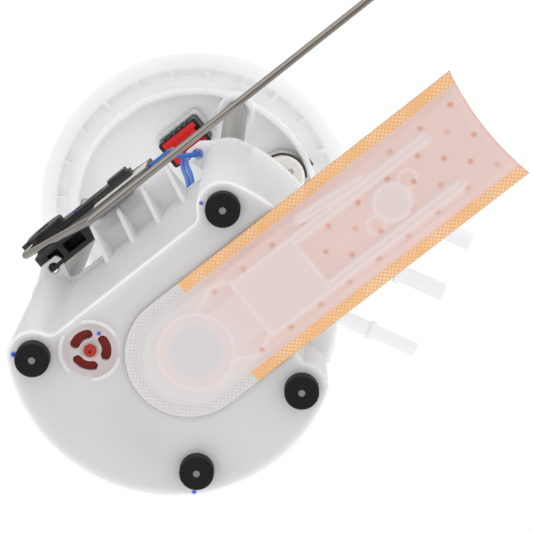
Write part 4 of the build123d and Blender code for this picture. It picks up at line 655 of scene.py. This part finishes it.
def make_sock():
    """Pillow of cloth over the frame: welded border, spot welds and what shows through."""
    x, y, end_x = sock_grid()
    columns, rows = x.shape[0] - 1, x.shape[1] - 1
    to_side = np.where(x < sock_round, sock_half - np.hypot(x - sock_round, y - sock_middle),
                       sock_half - np.abs(y - sock_middle))
    to_end = end_x - x
    puff = smoothstep((to_side - WELD) / SIDE_RISE) * smoothstep(to_end / END_RISE)
    on_frame = smoothstep(1.0 - members(x, y) / 2.4)
    ridge = np.exp(-(ridges(x, y) / RIDGE_WIDTH) ** 2)
    spot = spots(x, y)
    spotted = (to_side > WELD + 0.6) & (x > ORANGE_FROM - 2) & (to_end > 3)
    dimple = np.where(spotted, np.exp(-(spot / SPOT_SPREAD) ** 2), 0.0) * (1 - on_frame)
    weld_z = sock_high[2] - WELD_DROP
    depth = weld_z - sock_low[2]
    loose = LOOSE + UNEVEN * wrinkles(x, y)
    lift = puff * (loose + (FULL - loose) * on_frame + RIDGE_LIFT * ridge - DIMPLE * dimple)
    bottom = weld_z - WELD_HALF - np.clip(lift, 0, 0.99) * (depth - 0.15)
    top = weld_z + WELD_HALF + (sock_high[2] - weld_z) * puff * (0.45 - 0.3 * dimple)
    outline = np.zeros(x.shape, bool)
    outline[[0, -1], :] = outline[:, [0, -1]] = True
    under = np.stack([x, y, np.where(outline, weld_z, bottom)], 2).reshape(-1, 3)
    over = np.stack([x, y, top], 2).reshape(-1, 3)
    # both layers share the points of the outline
    numbers = np.arange(x.size).reshape(x.shape)
    layers = (numbers, np.where(outline, numbers, numbers + x.size))
    closed = np.hypot(x - pump[0], y - pump[1]) > INLET_RADIUS
    faces = []
    for i in range(columns):
        for j in range(rows):
            a, b, c, d = ((i, j), (i, j + 1), (i + 1, j + 1), (i + 1, j))
            faces.append([layers[0][at] for at in (a, b, c, d)])
            if closed[i, j]:
                faces.append([layers[1][at] for at in (a, d, c, b)])
    sock = mesh_piece("sock_cloth", np.concatenate([under, over]), faces, sock_surface())
    values = {
        "weld": smoothstep((WELD - to_side) / 0.7 + 0.5),
        "spot": np.where(spotted, smoothstep((SPOT_RADIUS - spot) / 0.7), 0.0) * (1 - 0.9 * on_frame),
        "ridge": ridge * puff,
        "on_frame": on_frame * puff,
        "lip": smoothstep(1 - to_end / 1.1),
        "rim": smoothstep(1 - to_side / 0.8),
    }
    for key, value in values.items():
        layer = sock.data.attributes.new(key, "FLOAT", "POINT")
        layer.data.foreach_set("value", np.concatenate([value.ravel(), value.ravel()]).astype(np.float32))
    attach(sock, "cup")
    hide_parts("strainer_sock")


make_sock()


# ---------------------------------------------------------------- coil springs under the rods
SPRING_WIRE = 0.6              # radius
DEAD_TURNS, DEAD_HEIGHT = 1.4, 1.6
SPRING_PITCH = 3.3
TURN_POINTS = 26


def make_spring(node):
    """Coil with closed ends, in place of the plain tube."""
    middle = centre(node)
    coil_radius = (high(node)[0] - low(node)[0]) / 2 - SPRING_WIRE
    length = high(node)[2] - low(node)[2] - 2 * SPRING_WIRE
    turns = round((length - 2 * DEAD_HEIGHT) / SPRING_PITCH) + 2 * DEAD_TURNS
    turned = np.linspace(0, turns, int(turns * TURN_POINTS))
    height = np.interp(turned, [0, DEAD_TURNS, turns - DEAD_TURNS, turns],
                       [0, DEAD_HEIGHT, length - DEAD_HEIGHT, length])
    line = np.stack([middle[0] + coil_radius * np.cos(2 * math.pi * turned),
                     middle[1] + coil_radius * np.sin(2 * math.pi * turned),
                     low(node)[2] + SPRING_WIRE + height], 1)
    spring = tube("coil_" + node, line, SPRING_WIRE, rod_steel, sides=10)
    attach(spring, "cover")
    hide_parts(node)
    shorten(spring)


make_spring("slide_spring_left")
make_spring("slide_spring_right")


# ---------------------------------------------------------------- convoluted hoses
CONVOLUTION_PITCH = 3.2
CONVOLUTION_DEPTH = 1.1
HOSE_PLAY = 0.2                # the hose's crests stay this far inside the plain tube
CUFF = 15.0                    # smooth length over each nipple
CORNER = 22.0                  # how far from a corner its curve starts
CORNER_POINTS = 12
# places of the ends in plan, and the straight runs at the lower and the upper end
SUPPLY_HEAD, SUPPLY_RUNS = (13.43, 6.68), (30.0, 35.0)
RETURN_FOOT, RETURN_HEAD, RETURN_RUNS = (-32.0, 12.5), (-17.41, 14.35), (83.2, 45.0)


def rounded(corners, step):
    """Line through corners, each rounded, as points at an even step; and their distances along it."""
    corners = [np.array(corner, float) for corner in corners]
    line = [corners[0]]
    for before, corner, after in zip(corners, corners[1:], corners[2:]):
        start = corner + (before - corner) / np.linalg.norm(before - corner) * CORNER
        end = corner + (after - corner) / np.linalg.norm(after - corner) * CORNER
        for t in np.linspace(0, 1, CORNER_POINTS):
            line.append((1 - t) ** 2 * start + 2 * t * (1 - t) * corner + t * t * end)
    line = np.array(line + [corners[-1]])
    along = np.concatenate([[0], np.cumsum(np.linalg.norm(np.diff(line, axis=0), axis=1))])
    even = np.linspace(0, along[-1], int(along[-1] / step) + 1)
    return np.stack([np.interp(even, along, line[:, i]) for i in range(3)], 1), even


def make_hose(node, foot, head, runs):
    """Ribbed hose with smooth cuffs, straight up at both ends, between two places in plan."""
    foot_z, head_z = low(node)[2], high(node)[2]
    corners = [(*foot, foot_z), (*foot, foot_z + runs[0]), (*head, head_z - runs[1]), (*head, head_z)]
    line, along = rounded(corners, CONVOLUTION_PITCH / 8)
    outer = (high(node)[1] - low(node)[1] - abs(head[1] - foot[1])) / 2
    ribbed = smoothstep((np.minimum(along, along[-1] - along) - CUFF) / 2.0)
    wave = 0.5 - 0.5 * np.cos(2 * math.pi * along / CONVOLUTION_PITCH)
    radii = outer - HOSE_PLAY - CONVOLUTION_DEPTH * wave * ribbed
    hose = tube("ribbed_" + node, line, radii, hose_plastic, sides=24)
    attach(hose, "cover")
    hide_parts(node)
    shorten(hose)


make_hose("supply_hose", pump, SUPPLY_HEAD, SUPPLY_RUNS)
make_hose("return_hose", RETURN_FOOT, RETURN_HEAD, RETURN_RUNS)


# ---------------------------------------------------------------- leads
def make_leads(node, surface):
    """The node's own leads as a separate piece on the cover, in place of the node."""
    leads = bpy.data.objects.new("soft_" + node, nodes[node].data.copy())
    scene.collection.objects.link(leads)
    leads.matrix_world = nodes[node].matrix_world
    leads.data.materials.clear()
    leads.data.materials.append(surface.material)
    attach(leads, "cover")
    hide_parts(node)
    shorten(leads)


make_leads("pump_wires", blue_insulation)
make_leads("sender_wires", blue_insulation)


# ---------------------------------------------------------------- small details
BLOCK_CORNERS = np.array([(x, y, z) for x in (-1, 1) for y in (-1, 1) for z in (-1, 1)], float)
BLOCK_FACES = [(0, 1, 3, 2), (4, 6, 7, 5), (0, 4, 5, 1), (2, 3, 7, 6), (0, 2, 6, 4), (1, 5, 7, 3)]
DOME_SIDES = 24
HUB_WEB = 2.5                  # the hub's web lies this far behind the face of its barrel
RIVET_PLACE, RIVET_RADIUS, RIVET_HEIGHT = (-17.1, -113.6), 2.1, 1.7    # X and Z on the hub
DOT_PLACE, DOT_RADIUS, DOT_HEIGHT = (-21.5, -120.5), 1.0, 0.7
CLIP_Z, CLIP_RADIUS, CLIP_WIRE = -14.5, 10.5, 0.65
CLIP_FROM, CLIP_TO = -80, 40    # degrees round the vent valve
LATCH_PLACE, LATCH_SIZE = (54.5, 14.2, -2.0), (1.8, 5.2, 4.2)


def dress(piece, body):
    """Lets a small piece ride on a body."""
    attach(piece, body)


def block(name, middle, size, surface, round_off=0.5):
    """Block with rounded edges."""
    corners = BLOCK_CORNERS * np.array(size) / 2 + np.array(middle)
    piece = mesh_piece(name, corners, BLOCK_FACES, surface, smooth=False)
    bevel = piece.modifiers.new("round", "BEVEL")
    bevel.width = round_off * MM
    bevel.segments = 3
    bevel.harden_normals = False
    return piece


def dome(name, foot, radius, height, surface):
    """Rivet head that stands out towards -Y from its foot, with a rim."""
    profile = [(radius, 0.0), (radius, 0.25 * height)]
    profile += [(0.85 * radius * math.cos(a), height * (0.25 + 0.75 * math.sin(a)))
                for a in np.linspace(0, 0.5 * math.pi, 9)]
    turns = np.linspace(0, 2 * math.pi, DOME_SIDES, endpoint=False)
    points = [(foot[0] + r * math.cos(a), foot[1] - out, foot[2] + r * math.sin(a))
              for r, out in profile for a in turns]
    faces = []
    for i in range(len(profile) - 1):
        for j in range(DOME_SIDES):
            a, b = i * DOME_SIDES + j, i * DOME_SIDES + (j + 1) % DOME_SIDES
            faces.append((a, b, b + DOME_SIDES, a + DOME_SIDES))
    return mesh_piece(name, points, faces + [tuple(range(DOME_SIDES))], surface)


def arc(name, middle, radius, from_degrees, to_degrees, wire, surface):
    """Bent wire round a vertical line."""
    angles = np.radians(np.linspace(from_degrees, to_degrees, 40))
    line = np.stack([middle[0] + radius * np.cos(angles), middle[1] + radius * np.sin(angles),
                     np.full(angles.shape, middle[2])], 1)
    return tube(name, line, wire, surface, sides=10)


hub_face = low("arm_hub")[1] + HUB_WEB
rivet_foot = (RIVET_PLACE[0], hub_face, RIVET_PLACE[1])
dot_foot = (DOT_PLACE[0], hub_face, DOT_PLACE[1])
clip_middle = (*centre("vent_valve_body")[:2], CLIP_Z)
dress(dome("contact_rivet", rivet_foot, RIVET_RADIUS, RIVET_HEIGHT, steel), "float_arm")
dress(dome("hub_dot", dot_foot, DOT_RADIUS, DOT_HEIGHT, violet_dot), "float_arm")
clip = arc("vent_clip", clip_middle, CLIP_RADIUS, CLIP_FROM, CLIP_TO, CLIP_WIRE, dark_steel)
dress(clip, "cover")
dress(block("cover_latch", LATCH_PLACE, LATCH_SIZE, black_plastic), "cover")


# ---------------------------------------------------------------- floor
FLOOR_RADIUS = 620.0
FLOOR_SIDES = 96
FLOOR_GAP = 0.05               # below the lowest point of the part


def make_floor():
    """Pale floor that shows from above only, and fades out into the white backdrop."""
    surface = Surface("floor", (0.95, 0.95, 0.955), rough=0.8, vary=0.01, bump=0.02, grain=300,
                      specular=0.1)
    floor_z = cad_box[0][2] / MM - FLOOR_GAP
    angles = np.linspace(0, 2 * math.pi, FLOOR_SIDES, endpoint=False)
    points = [(0, 0, floor_z)]
    points += [(FLOOR_RADIUS * math.cos(a), FLOOR_RADIUS * math.sin(a), floor_z) for a in angles]
    faces = [(0, 1 + i, 1 + (i + 1) % len(angles)) for i in range(len(angles))]
    floor = mesh_piece("floor", points, faces, surface, smooth=False)
    fade = surface.span(surface.away((0, 0)), 0.3 * FLOOR_RADIUS * MM, 0.98 * FLOOR_RADIUS * MM)
    from_below = surface.nodes.new("ShaderNodeNewGeometry").outputs["Backfacing"]
    mixer = surface.nodes.new("ShaderNodeMixShader")
    surface.feed(mixer.inputs[0], surface.math("MAXIMUM", fade, from_below))
    surface.feed(mixer.inputs[1], surface.shader.outputs[0])
    surface.feed(mixer.inputs[2], surface.nodes.new("ShaderNodeBsdfTransparent").outputs[0])
    surface.feed(surface.nodes["Material Output"].inputs["Surface"], mixer.outputs[0])
    floor.visible_diffuse = floor.visible_glossy = floor.visible_transmission = floor.visible_shadow = False


make_floor()
